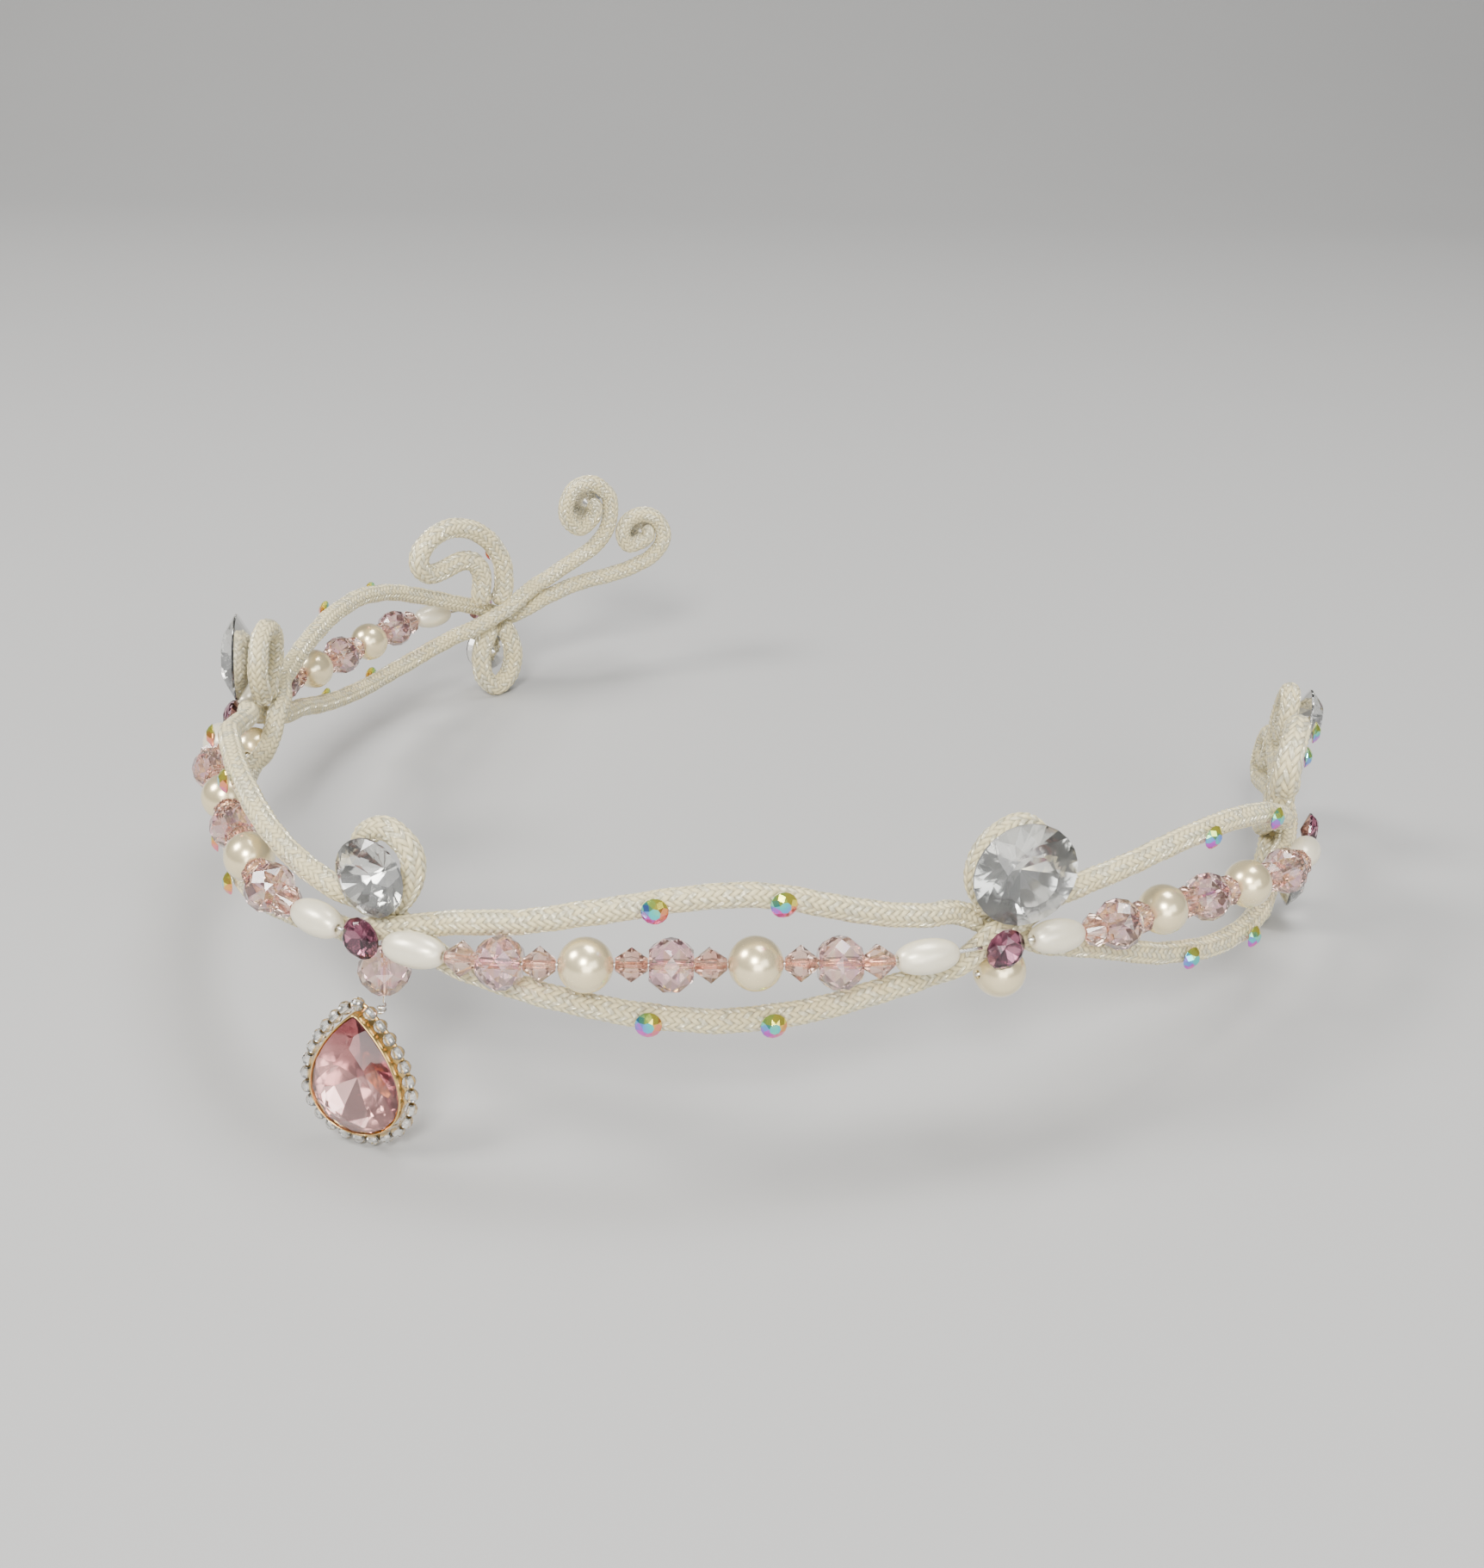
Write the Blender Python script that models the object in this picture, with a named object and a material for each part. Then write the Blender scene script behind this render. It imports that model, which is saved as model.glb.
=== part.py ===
"""Forehead tiara: an open circlet of two braided cords that cross at five joints.

Between the joints the cords bow apart into four lens panels, each crossed by a string of
thirteen beads. Loops of cord, stones and pearls sit on the joints, the ends curl into
scrolls, and a pear pendant hangs at the front centre. The tiara rests on the pendant's tip
and on the two lower loops at the back, as it does in the photograph.

The shapes are worked out in millimetres in the tiara's own frame: the front joint at the
origin, +x to the right, +y to the back, +z up, and the bead line near z = 0. Along the
circlet, s is the distance from the front joint, h the height and o the distance outward.
"""

import math

import bpy
import numpy as np

for old in list(bpy.data.objects):
    bpy.data.objects.remove(old, do_unlink=True)

# Driving dimensions, in millimetres and degrees.
PANEL = 69.3  # distance between joints along the circlet
CORD_D = 2.7
LOOP_CORD_D = 3.3  # the cord of the back loops looks a little thicker
CLEAR = 0.3  # gap left between pieces that touch
PEARL_D = 6.0
RICE_D, RICE_L = 3.9, 7.4
RONDELLE_D, RONDELLE_L = 6.0, 4.7
BICONE_D, BICONE_L = 4.0, 3.45
BEAD_GAP = 0.08
WIRE_D = 0.5
NECK_D = 1.4  # where a bicone meets the next bead
JOINT_PEARL_D = 5.6
FRONT_STONE_D = 9.0
SIDE_STONE_D = 12.0
BACK_STONE_D = 8.2
SCROLL_STONE_D = (7.95, 6.9)
PURPLE_D = 4.8
AB_D = 2.9
PEAR_W, PEAR_H = 10.0, 14.0
RIM_BEAD_D = 1.6
RIM_BEADS = 26
CORD_SIDES = 8
BEAD_SIDES = 10
LAYER = 1.53  # how far each cord steps out or in where the two cross
LAYER_HOLD, LAYER_FADE = 1.9, 7.2
SEAT = -0.7  # the cords sit this far inward at a joint, the beads pass in front
SEAT_FADE = 22.5

# Heading of the circlet in degrees at these distances, in panels, from the front joint.
TURN_AT = (0.0, 0.5, 1.0, 1.5, 2.0, 2.5)
TURN = {
    1: (0.0, 33.4, 54.0, 68.9, 104.0, 110.0),
    -1: (0.0, 37.5, 63.2, 76.7, 113.6, 142.3),
}
# How far each joint stands above the front joint: front, side, back, end.
LIFT_AT = (0.0, 1.0, 2.0, 2.6)
LIFT = {1: (0.0, 2.78, -1.72, -21.0), -1: (0.0, 1.88, 0.38, -0.38)}

# Heights of the two cords across a panel, by fraction of the panel.
FRONT_AT = (0.0, 0.06, 0.12, 0.24, 0.34, 0.45, 0.55, 0.63, 0.72, 0.80, 0.88, 0.94, 1.0)
FRONT_UP = (0.0, 0.9, 1.65, 2.92, 4.43, 5.93, 6.75, 6.38, 4.8, 3.45, 2.47, 1.8, 0.0)
FRONT_LOW = (0.0, -1.88, -3.15, -4.88, -6.3, -7.5, -8.18, -7.95, -7.2, -6.15, -5.1, -3.45, 0.0)
BACK_AT = (0.0, 0.06, 0.12, 0.25, 0.33, 0.42, 0.55, 0.65, 0.75, 0.85, 0.93, 1.0)
BACK_UP = (0.0, 1.35, 2.55, 4.72, 6.0, 7.27, 8.1, 7.5, 5.85, 3.68, 1.88, 0.0)
BACK_LOW = (0.0, -1.88, -3.22, -5.1, -6.6, -7.8, -8.55, -8.1, -6.75, -4.65, -2.4, 0.0)
BACK_SCALE = {1: 1.03, -1: 0.92}

# How far the bead string stands outward, and how far it hangs, across a panel.
STRING_AT = (0.0, 0.16, 0.24, 0.33, 0.42, 0.58, 0.67, 0.76, 0.84, 1.0)
STRING_OUT = (3.38, 3.22, 2.62, 1.5, 0.75, 0.75, 1.5, 2.62, 3.22, 3.38)
STRING_SAG = 1.0
STRING_START = 2.8
STRING_END = 3.3
# The beads of a string in order: the repeat goes in as often as the panel has room for.
FIRST_BEADS = ("rice", "bicone", "rondelle")
REPEAT_BEADS = ("bicone", "pearl", "bicone", "rondelle")
LAST_BEADS = ("bicone", "rice")

# Cord shapes beyond and on the joints, as (distance past the joint, height).
UPPER_SCROLL = ((0.0, 0.0), (4.35, 2.1), (9.75, 4.95), (14.4, 7.65), (18.45, 10.2), (21.15, 13.2),
                (22.2, 17.02), (21.3, 20.48), (18.45, 22.2), (15.6, 21.38), (14.02, 18.75),
                (14.4, 15.67), (16.65, 14.17), (18.9, 16.05), (19.2, 17.9), (18.1, 18.9))
LOWER_SCROLL = ((0.0, 0.0), (4.2, -1.12), (9.75, 1.65), (15.52, 3.9), (21.38, 5.47), (25.8, 6.9),
                (29.55, 8.93), (31.5, 11.25), (31.8, 13.88), (30.45, 16.05), (27.9, 16.8),
                (25.5, 15.6), (24.53, 13.2), (25.88, 11.18), (28.58, 12.45))
HOOK = ((1.88, 3.35), (2.17, 5.4), (1.65, 9.15), (-0.52, 12.6), (-3.45, 14.85), (-6.75, 15.67),
        (-10.05, 14.85), (-12.67, 12.75), (-13.2, 10.27), (-11.55, 8.48), (-8.62, 8.7),
        (-5.7, 9.75), (-3.15, 9.3), (-1.95, 7.05), (-1.88, 5.1), (-2.03, 3.75))
LOW_LOOP = ((-0.75, -3.45), (-1.72, -5.55), (-2.17, -8.25), (-1.35, -11.55), (1.05, -13.42),
            (3.45, -11.55), (4.28, -8.25), (3.82, -5.55), (2.85, -3.45))
FRONT_LOOP = ((-1.54, 2.7), (-2.85, 4.5), (-3.6, 6.9), (-2.85, 9.6), (0.0, 11.25),
              (2.85, 9.6), (3.6, 6.9), (2.85, 4.5), (1.54, 2.7))
SIDE_LOOP = ((-1.54, 3.22), (-3.15, 5.18), (-3.97, 7.65), (-3.07, 10.5), (0.0, 12.0),
             (3.07, 10.5), (3.97, 7.65), (3.15, 5.18), (1.54, 3.22))
STONE_RISE = 7.8  # height of the middle of a side stone
LOOP_LEAN_AT = 7.5  # the height at which a side loop has leant over by SIDE_LEAN
SIDE_LEAN = {1: 1.42, -1: 0.68}  # how far a side loop and its stone lean past the joint
SIDE_STONE_TURN = 12.0  # degrees that a side stone is turned towards the front
SIDE_STONE_OUT = 0.8  # what that turn lifts it off its loop
PEARL_AWAY, PEARL_DROP, PEARL_OUT = 1.1, 4.9, 0.9  # a joint pearl beyond, below, out of the joint
HOOK_REACH = {1: 1.0, -1: 1.2}  # how far the hooks reach over the back panels, as shares
TAIL_LOW = {1: 0.16, -1: 0.0}  # share taken off the heights of the ends above TAIL_LOW_FROM
TAIL_LOW_FROM = 6.0

PENDANT_CENTRE = (-0.68, -3.9, -16.95)
PENDANT_YAW = 12.0

IVORY = (0.80, 0.72, 0.56)
PEARL_COLOUR = (0.88, 0.81, 0.68)
CLEAR_COLOUR = (0.82, 0.85, 0.87)
PURPLE_COLOUR = (0.50, 0.24, 0.38)
AB_COLOUR = (0.72, 0.70, 0.82)
ROSE_COLOUR = (0.80, 0.42, 0.44)
GOLD_COLOUR = (0.83, 0.64, 0.30)
BEAD_COLOUR = (0.86, 0.70, 0.66)

SHAPES = {}


def smooth_through(x, known_x, known_y):
    """A smooth curve through the known points that doesn't overshoot between them."""
    kx = np.asarray(known_x, float)
    ky = np.asarray(known_y, float)
    step = np.diff(kx)
    slope = np.diff(ky) / step
    tangent = np.zeros(len(kx))
    for i in range(1, len(kx) - 1):
        if slope[i - 1] * slope[i] > 0:
            near = 2 * step[i] + step[i - 1]
            far = step[i] + 2 * step[i - 1]
            tangent[i] = (near + far) / (near / slope[i - 1] + far / slope[i])
    for end, first, second in ((0, 0, 1), (-1, -1, -2)):
        value = (2 * step[first] + step[second]) * slope[first] - step[first] * slope[second]
        value /= step[first] + step[second]
        if value * slope[first] <= 0:
            value = 0.0
        elif slope[first] * slope[second] < 0 and abs(value) > 3 * abs(slope[first]):
            value = 3 * slope[first]
        tangent[end] = value
    x = np.clip(np.asarray(x, float), kx[0], kx[-1])
    i = np.clip(np.searchsorted(kx, x, side="right") - 1, 0, len(kx) - 2)
    t = (x - kx[i]) / step[i]
    return (
        ky[i] * (1 + 2 * t) * (1 - t) ** 2
        + tangent[i] * step[i] * t * (1 - t) ** 2
        + ky[i + 1] * t**2 * (3 - 2 * t)
        + tangent[i + 1] * step[i] * t**2 * (t - 1)
    )


def plan_of(side):
    """The circlet's plan on one side: distances, x, y and headings."""
    s = np.linspace(0, 2.6 * PANEL, 1041)
    heading = np.radians(smooth_through(s / PANEL, TURN_AT, TURN[side]))
    step = s[1] - s[0]
    middle = (heading[1:] + heading[:-1]) / 2
    x = np.concatenate([[0.0], np.cumsum(np.cos(middle) * step)])
    y = np.concatenate([[0.0], np.cumsum(np.sin(middle) * step)])
    return s, side * x, y, heading


PLAN = {side: plan_of(side) for side in (1, -1)}


def place(side, s, h, o):
    """A point of the tiara's frame from the distance along, the height and the distance out."""
    grid, x, y, heading = PLAN[side]
    if s < 0:
        return place(-side, -s, h, o)
    turn = np.interp(s, grid, heading)
    rise = float(smooth_through(s / PANEL, LIFT_AT, LIFT[side]))
    return np.array([
        np.interp(s, grid, x) + o * side * math.sin(turn),
        np.interp(s, grid, y) - o * math.cos(turn),
        h + rise,
    ])


def outward(side, s):
    if s < 0:
        return outward(-side, -s)
    turn = np.interp(s, PLAN[side][0], PLAN[side][3])
    return np.array([side * math.sin(turn), -math.cos(turn), 0.0])


def unit(v):
    return v / np.linalg.norm(v)


def through(points, step):
    """A smooth curve through the points, with samples about one step apart."""
    p = np.asarray(points, float)
    p = np.vstack([2 * p[0] - p[1], p, 2 * p[-1] - p[-2]])
    out = []
    for i in range(1, len(p) - 2):
        count = max(1, int(round(np.linalg.norm(p[i + 1] - p[i]) / step)))
        for k in range(count):
            t = k / count
            out.append(0.5 * (
                2 * p[i]
                + (p[i + 1] - p[i - 1]) * t
                + (2 * p[i - 1] - 5 * p[i] + 4 * p[i + 1] - p[i + 2]) * t**2
                + (3 * p[i] - p[i - 1] - 3 * p[i + 1] + p[i + 2]) * t**3
            ))
    out.append(p[-2])
    return np.array(out)


def skin(name, rings, colour, roughness, metallic=0.0, closed=False):
    """One closed body from rings of points: walls between them, and a cap at each end."""
    rings = np.asarray(rings, float)
    count, sides = rings.shape[:2]
    verts = rings.reshape(-1, 3)
    faces = []
    for i in range(count if closed else count - 1):
        j = (i + 1) % count
        for k in range(sides):
            m = (k + 1) % sides
            faces.append((i * sides + k, i * sides + m, j * sides + m, j * sides + k))
    if not closed:
        faces.append(tuple(reversed(range(sides))))
        faces.append(tuple(range((count - 1) * sides, count * sides)))
    volume = 0.0
    for face in faces:
        a = verts[face[0]]
        for b, c in zip(face[1:-1], face[2:]):
            volume += np.dot(a, np.cross(verts[b], verts[c]))
    if volume < 0:
        faces = [tuple(reversed(face)) for face in faces]
    SHAPES[name] = (verts, faces, colour, roughness, metallic)


def frames_along(points, first_side, closed=False):
    """Two cross directions at each point, carried along without twisting."""
    ahead = np.roll(points, -1, axis=0) - np.roll(points, 1, axis=0)
    if not closed:
        ahead[0] = points[1] - points[0]
        ahead[-1] = points[-1] - points[-2]
    frames = []
    across = np.asarray(first_side, float)
    for tangent in ahead:
        tangent = unit(tangent)
        across = unit(across - tangent * np.dot(across, tangent))
        frames.append((across, np.cross(tangent, across)))
    return frames


def tube(name, points, radii, sides, colour, roughness, first_side=(0, 0, 1), metallic=0.0,
         closed=False):
    points = np.asarray(points, float)
    radii = np.broadcast_to(radii, len(points))
    rings = []
    for point, radius, (a, b) in zip(points, radii, frames_along(points, first_side, closed)):
        angles = (np.arange(sides) + 0.5) * 2 * math.pi / sides
        rings.append([point + radius * (math.cos(t) * a + math.sin(t) * b) for t in angles])
    skin(name, rings, colour, roughness, metallic, closed)


def stone(name, centre, normal, diameter, heights, widths, facets, colour, roughness=0.05):
    """A round cut stone: one ring of points at each height, the last one is the table."""
    normal = unit(np.asarray(normal, float))
    across = unit(np.cross((0, 0, 1), normal))
    up = np.cross(normal, across)
    rings = []
    for height, width in zip(heights, widths):
        radius = diameter / 2 * width
        angles = np.arange(facets) * 2 * math.pi / facets
        rings.append([
            centre + height * normal + radius * (math.cos(t) * across + math.sin(t) * up)
            for t in angles
        ])
    skin(name, rings, colour, roughness)


def crossing_layer(s):
    """How much of the step out or in is left at this distance from the nearest joint."""
    away = abs(s - PANEL * round(s / PANEL))
    if away < LAYER_HOLD:
        return 1.0
    if away < LAYER_HOLD + LAYER_FADE:
        return 0.5 + 0.5 * math.cos(math.pi * (away - LAYER_HOLD) / LAYER_FADE)
    return 0.0


def seat(s):
    away = abs(s - PANEL * round(min(s / PANEL, 2)))
    return SEAT * 0.5 * (1 + math.cos(math.pi * min(away / SEAT_FADE, 1)))


def tail_height(side, h):
    """The height of a point of an end on this side: the right one is curled a little lower."""
    return h - TAIL_LOW[side] * max(0.0, h - TAIL_LOW_FROM)


def half_cord(side, upper_first, layer_first, scroll):
    """One cord from the front joint to the end of its scroll, as points of the frame."""
    points = []
    for k in range(36):
        s = PANEL * 2 * k / 36
        panel, u = divmod(s / PANEL, 1)
        is_upper = upper_first if panel == 0 else not upper_first
        if panel == 0:
            h = smooth_through(u, FRONT_AT, FRONT_UP if is_upper else FRONT_LOW)
        else:
            h = smooth_through(u, BACK_AT, BACK_UP if is_upper else BACK_LOW)
            h = h * BACK_SCALE[side]
        sign = layer_first * (-1) ** round(s / PANEL)
        points.append(place(side, s, float(h), seat(s) + sign * LAYER * crossing_layer(s)))
    for away, h in through(scroll, 2.25):
        s = 2 * PANEL + away
        step_out = layer_first * LAYER * crossing_layer(min(s, 2.4 * PANEL))
        points.append(place(side, s, tail_height(side, h), seat(s) + step_out))
    return points


def main_cord(name, right_upper, layer_first):
    right = half_cord(1, right_upper, layer_first, UPPER_SCROLL if right_upper else LOWER_SCROLL)
    left = half_cord(-1, not right_upper, layer_first,
                     LOWER_SCROLL if right_upper else UPPER_SCROLL)
    tube(name, left[:0:-1] + right, CORD_D / 2, CORD_SIDES, IVORY, 0.7)


def surface_loop(name, side, joint, shape, diameter, out, lean=0.0, step=2.4):
    points = []
    for away, h in through(shape, step):
        shifted = away + lean * h / LOOP_LEAN_AT
        points.append(place(side, joint * PANEL + shifted, h, out))
    tube(name, points, diameter / 2, CORD_SIDES, IVORY, 0.7,
         first_side=outward(side, joint * PANEL))


def bead_rings(kind):
    """A bead's length and its outline as (distance from its middle, radius)."""
    if kind == "pearl":
        angles = (-76, -48, -18, 18, 48, 76)
        r = PEARL_D / 2
        return PEARL_D, [
            (r * math.sin(math.radians(a)), r * math.cos(math.radians(a))) for a in angles
        ]
    if kind == "rice":
        r, half = RICE_D / 2, RICE_L / 2
        return RICE_L, [
            (half * math.sin(math.radians(a)), r * math.cos(math.radians(a)))
            for a in (-74, -45, -15, 15, 45, 74)
        ]
    if kind == "rondelle":
        r, half = RONDELLE_D / 2, RONDELLE_L / 2
        return RONDELLE_L, [(-half, 0.6 * r), (-0.4 * half, r), (0.4 * half, r), (half, 0.6 * r)]
    r = BICONE_D / 2
    return BICONE_L, [(0.0, r)]


def string_point(side, panel, u):
    """A point of the bead string's own line, u from the nearer joint to the further one."""
    out = float(smooth_through(u, STRING_AT, STRING_OUT))
    return place(side, (panel + u) * PANEL, -STRING_SAG * math.sin(math.pi * u), out)


def beads_for(room):
    """The beads that fit in this length of wire."""
    fixed = sum(bead_rings(kind)[0] + BEAD_GAP for kind in FIRST_BEADS + LAST_BEADS)
    repeat = sum(bead_rings(kind)[0] + BEAD_GAP for kind in REPEAT_BEADS)
    return FIRST_BEADS + REPEAT_BEADS * max(0, int((room - fixed) / repeat)) + LAST_BEADS


def bead_string(name, side, panel):
    grid = np.linspace(0, 1, 401)
    line = np.array([string_point(side, panel, u) for u in grid])
    run = np.concatenate([[0.0], np.cumsum(np.linalg.norm(np.diff(line, axis=0), axis=1))])

    def on_line(distance):
        return np.array([np.interp(distance, run, line[:, k]) for k in range(3)])

    stations = []
    at = np.interp(STRING_START / PANEL, grid, run)
    end = np.interp(1 - STRING_END / PANEL, grid, run)
    for kind in beads_for(end - at):
        length, outline = bead_rings(kind)
        for offset, radius in outline:
            stations.append((at + length / 2 + offset, radius))
        at += length
        if kind != "rice" or len(stations) < 10:
            stations.append((at + BEAD_GAP / 2, NECK_D / 2))
            at += BEAD_GAP
    stations += [(at + 0.04, WIRE_D / 2), ((at + end) / 2, WIRE_D / 2), (end, WIRE_D / 2)]
    stations.insert(0, (stations[0][0] - 0.3, 0.3))
    tube(name, [on_line(d) for d, _ in stations], [r for _, r in stations], BEAD_SIDES,
         BEAD_COLOUR, 0.12)


def round_pearl(name, centre, diameter, axis):
    axis = unit(np.asarray(axis, float))
    angles = (-80, -52, -18, 18, 52, 80)
    r = diameter / 2
    points = [centre + r * math.sin(math.radians(a)) * axis for a in angles]
    tube(name, points, [r * math.cos(math.radians(a)) for a in angles], 12, PEARL_COLOUR, 0.25,
         first_side=(0.1, 0.2, 1.0))


def pear_outline(offset, count):
    """The pear stone's outline grown by an offset, point up, as even steps of its length."""
    t = np.linspace(0, 2 * math.pi, 721)[:-1]
    x = np.sin(t) * np.abs(np.sin(t / 2)) ** 0.85
    y = np.cos(t)
    x = x / x.max() * PEAR_W / 2
    y = y * PEAR_H / 2
    line = np.stack([x, y], axis=1)
    ahead = np.roll(line, -1, axis=0) - np.roll(line, 1, axis=0)
    ahead /= np.linalg.norm(ahead, axis=1, keepdims=True)
    line = line + offset * np.stack([-ahead[:, 1], ahead[:, 0]], axis=1)
    loop = np.vstack([line, line[:1]])
    run = np.concatenate([[0.0], np.cumsum(np.linalg.norm(np.diff(loop, axis=0), axis=1))])
    at = np.arange(count) * run[-1] / count
    return np.stack([np.interp(at, run, loop[:, 0]), np.interp(at, run, loop[:, 1])], axis=1)


def pendant():
    yaw = math.radians(PENDANT_YAW)
    normal = np.array([math.sin(yaw), -math.cos(yaw), 0.0])
    across = np.array([math.cos(yaw), math.sin(yaw), 0.0])
    up = np.array([0.0, 0.0, 1.0])
    centre = np.asarray(PENDANT_CENTRE)

    def ring(offset, depth, count=24, shrink=1.0):
        outline = pear_outline(offset, count) * shrink
        return [centre + depth * normal + x * across + y * up for x, y in outline]

    wall = CLEAR + 0.45
    skin("pendant_setting", [
        ring(wall - 0.4, -2.5), ring(wall, -1.8), ring(wall, 0.5),
        ring(CLEAR, 0.5), ring(CLEAR, -1.1), ring(CLEAR - 0.7, -1.5),
    ], GOLD_COLOUR, 0.25, metallic=1.0)
    skin("pendant_stone", [
        ring(-1.1, -1.1), ring(0.0, 0.0), ring(0.0, 0.35), ring(-1.0, 1.1), ring(-2.1, 1.7),
    ], ROSE_COLOUR, 0.05)

    outline = pear_outline(wall + CLEAR + RIM_BEAD_D / 2, RIM_BEADS * 2)
    radii = [RIM_BEAD_D / 2 if k % 2 == 0 else 0.42 for k in range(RIM_BEADS * 2)]
    points = [centre - 0.3 * normal + x * across + y * up for x, y in outline]
    tube("pendant_bead_rim", points, radii, BEAD_SIDES, CLEAR_COLOUR, 0.08, first_side=normal,
         closed=True)

    drop = [(-1.6, 0.3), (-3.1, 0.3)]
    drop += [(-5.6 - offset, radius) for offset, radius in bead_rings("rondelle")[1]]
    drop += [(-8.2, 0.3), (-9.0, 0.3), (-9.4, 0.7), (-10.0, 0.85), (-10.6, 0.7), (-11.0, 0.3)]
    line = []
    for height, _ in drop:
        lean = -0.6 * max(0.0, min(1.0, (-7.9 - height) / 1.5))
        line.append(np.array([0.0, 0.3 + lean, height]))
    tube("pendant_drop_wire", line, [r for _, r in drop], BEAD_SIDES, BEAD_COLOUR, 0.12,
         first_side=(1, 0, 0))


def flat_stone(name, side, s, h, back, diameter, kind, colour, turn=0.0):
    """A stone glued on an outer surface, with its flat back at the distance out given."""
    heights, widths = {
        "clear": ((0.0, 1.3, 1.6, 2.5, 3.2), (0.62, 1.0, 1.0, 0.86, 0.56)),
        "purple": ((0.0, 1.0, 1.3, 2.3), (0.7, 1.0, 1.0, 0.6)),
        "ab": ((0.0, 0.35, 1.2), (0.96, 1.0, 0.5)),
    }[kind]
    facets = {"clear": 12, "purple": 8, "ab": 8}[kind]
    ahead = np.cross(outward(side, s), (0.0, 0.0, 1.0)) * side
    angle = math.radians(turn)
    normal = math.cos(angle) * outward(side, s) + math.sin(angle) * ahead
    stone(name, place(side, s, h, back), normal, diameter, heights, widths, facets, colour)


SIDE_NAMES = {1: "right", -1: "left"}
CROSS_OUT = SEAT + LAYER + CORD_D / 2 + CLEAR

main_cord("main_cord_a", True, 1)
main_cord("main_cord_b", False, -1)
surface_loop("loop_front", 1, 0, FRONT_LOOP, CORD_D, SEAT)
flat_stone("clear_stone_front", 1, 0.2, 6.6, SEAT + CORD_D / 2 + CLEAR, FRONT_STONE_D, "clear",
           CLEAR_COLOUR)
flat_stone("purple_stone_front", 1, 0.0, -0.1, CROSS_OUT, PURPLE_D, "purple", PURPLE_COLOUR)
pendant()

for side, word in SIDE_NAMES.items():
    lean = SIDE_LEAN[side]
    surface_loop(f"loop_side_{word}", side, 1, SIDE_LOOP, CORD_D, SEAT, lean)
    flat_stone(f"clear_stone_side_{word}", side, PANEL + lean, STONE_RISE,
               SEAT + CORD_D / 2 + CLEAR + SIDE_STONE_OUT, SIDE_STONE_D, "clear", CLEAR_COLOUR,
               SIDE_STONE_TURN)
    flat_stone(f"purple_stone_side_{word}", side, PANEL - 0.45, -0.7, CROSS_OUT, PURPLE_D,
               "purple", PURPLE_COLOUR)
    round_pearl(f"pearl_side_{word}",
                place(side, PANEL + side * PEARL_AWAY, -PEARL_DROP, PEARL_OUT), JOINT_PEARL_D,
                np.cross(outward(side, PANEL), (0.0, 0.0, 1.0)))

    reach = HOOK_REACH[side]
    hook = [(away * reach if away < 0 else away, h) for away, h in HOOK]
    surface_loop(f"hook_loop_{word}", side, 2, hook, LOOP_CORD_D, SEAT)
    surface_loop(f"low_loop_{word}", side, 2, LOW_LOOP, LOOP_CORD_D, SEAT)
    back = SEAT + LOOP_CORD_D / 2 + CLEAR
    flat_stone(f"clear_stone_back_{word}", side, 2 * PANEL + 1.05, -7.4, back, BACK_STONE_D,
               "clear", CLEAR_COLOUR)
    flat_stone(f"purple_stone_back_{word}", side, 2 * PANEL, 0.0, CROSS_OUT, PURPLE_D, "purple",
               PURPLE_COLOUR)
    for number, (away, h) in enumerate(((1.2, 10.2), (-3.3 * reach, 14.7)), start=1):
        flat_stone(f"ab_stone_hook_{word}_{number}", side, 2 * PANEL + away, h, back, AB_D, "ab",
                   AB_COLOUR)
    scrolls = (("upper", 18.2, 18.2), ("lower", 28.2, 13.1))
    for (place_word, away, h), diameter in zip(scrolls, SCROLL_STONE_D):
        flat_stone(f"clear_stone_{place_word}_scroll_{word}", side, 2 * PANEL + away,
                   tail_height(side, h), CORD_D / 2 + CLEAR, diameter, "clear", CLEAR_COLOUR)

    for panel, panel_word in ((0, "front"), (1, "back")):
        bead_string(f"bead_string_{panel_word}_{word}", side, panel)
        stations = ((30.7, 43.8), (30.6, 44.4))[panel]
        for level, low in (("upper", False), ("lower", True)):
            for number, along in enumerate(stations, start=1):
                u = along / PANEL
                if panel == 0:
                    h = smooth_through(u, FRONT_AT, FRONT_LOW if low else FRONT_UP)
                else:
                    h = smooth_through(u, BACK_AT, BACK_LOW if low else BACK_UP)
                    h = h * BACK_SCALE[side]
                s = panel * PANEL + along
                flat_stone(f"ab_stone_{panel_word}_{word}_{level}_{number}", side, s, float(h),
                           seat(s) + CORD_D / 2 + CLEAR, AB_D, "ab", AB_COLOUR)


def resting_turn():
    """The rotation that puts the pendant's tip and the two low loops on a level floor."""
    feet = [SHAPES[name][0] for name in
            ("pendant_bead_rim", "low_loop_right", "low_loop_left")]
    up = np.array([0.0, 0.0, 1.0])
    for _ in range(6):
        front, right, left = [verts[np.argmin(verts @ up)] for verts in feet]
        up = unit(np.cross(right - front, left - front))
        if up[2] < 0:
            up = -up
    forward = unit(np.array([0.0, 1.0, 0.0]) - up * up[1])
    return np.array([np.cross(forward, up), forward, up])


TURN_TO_REST = resting_turn()
every = np.vstack([verts @ TURN_TO_REST.T for verts, *_ in SHAPES.values()])
low, high = every.min(axis=0), every.max(axis=0)
SHIFT = np.array([(low[0] + high[0]) / 2, (low[1] + high[1]) / 2, low[2]])

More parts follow.
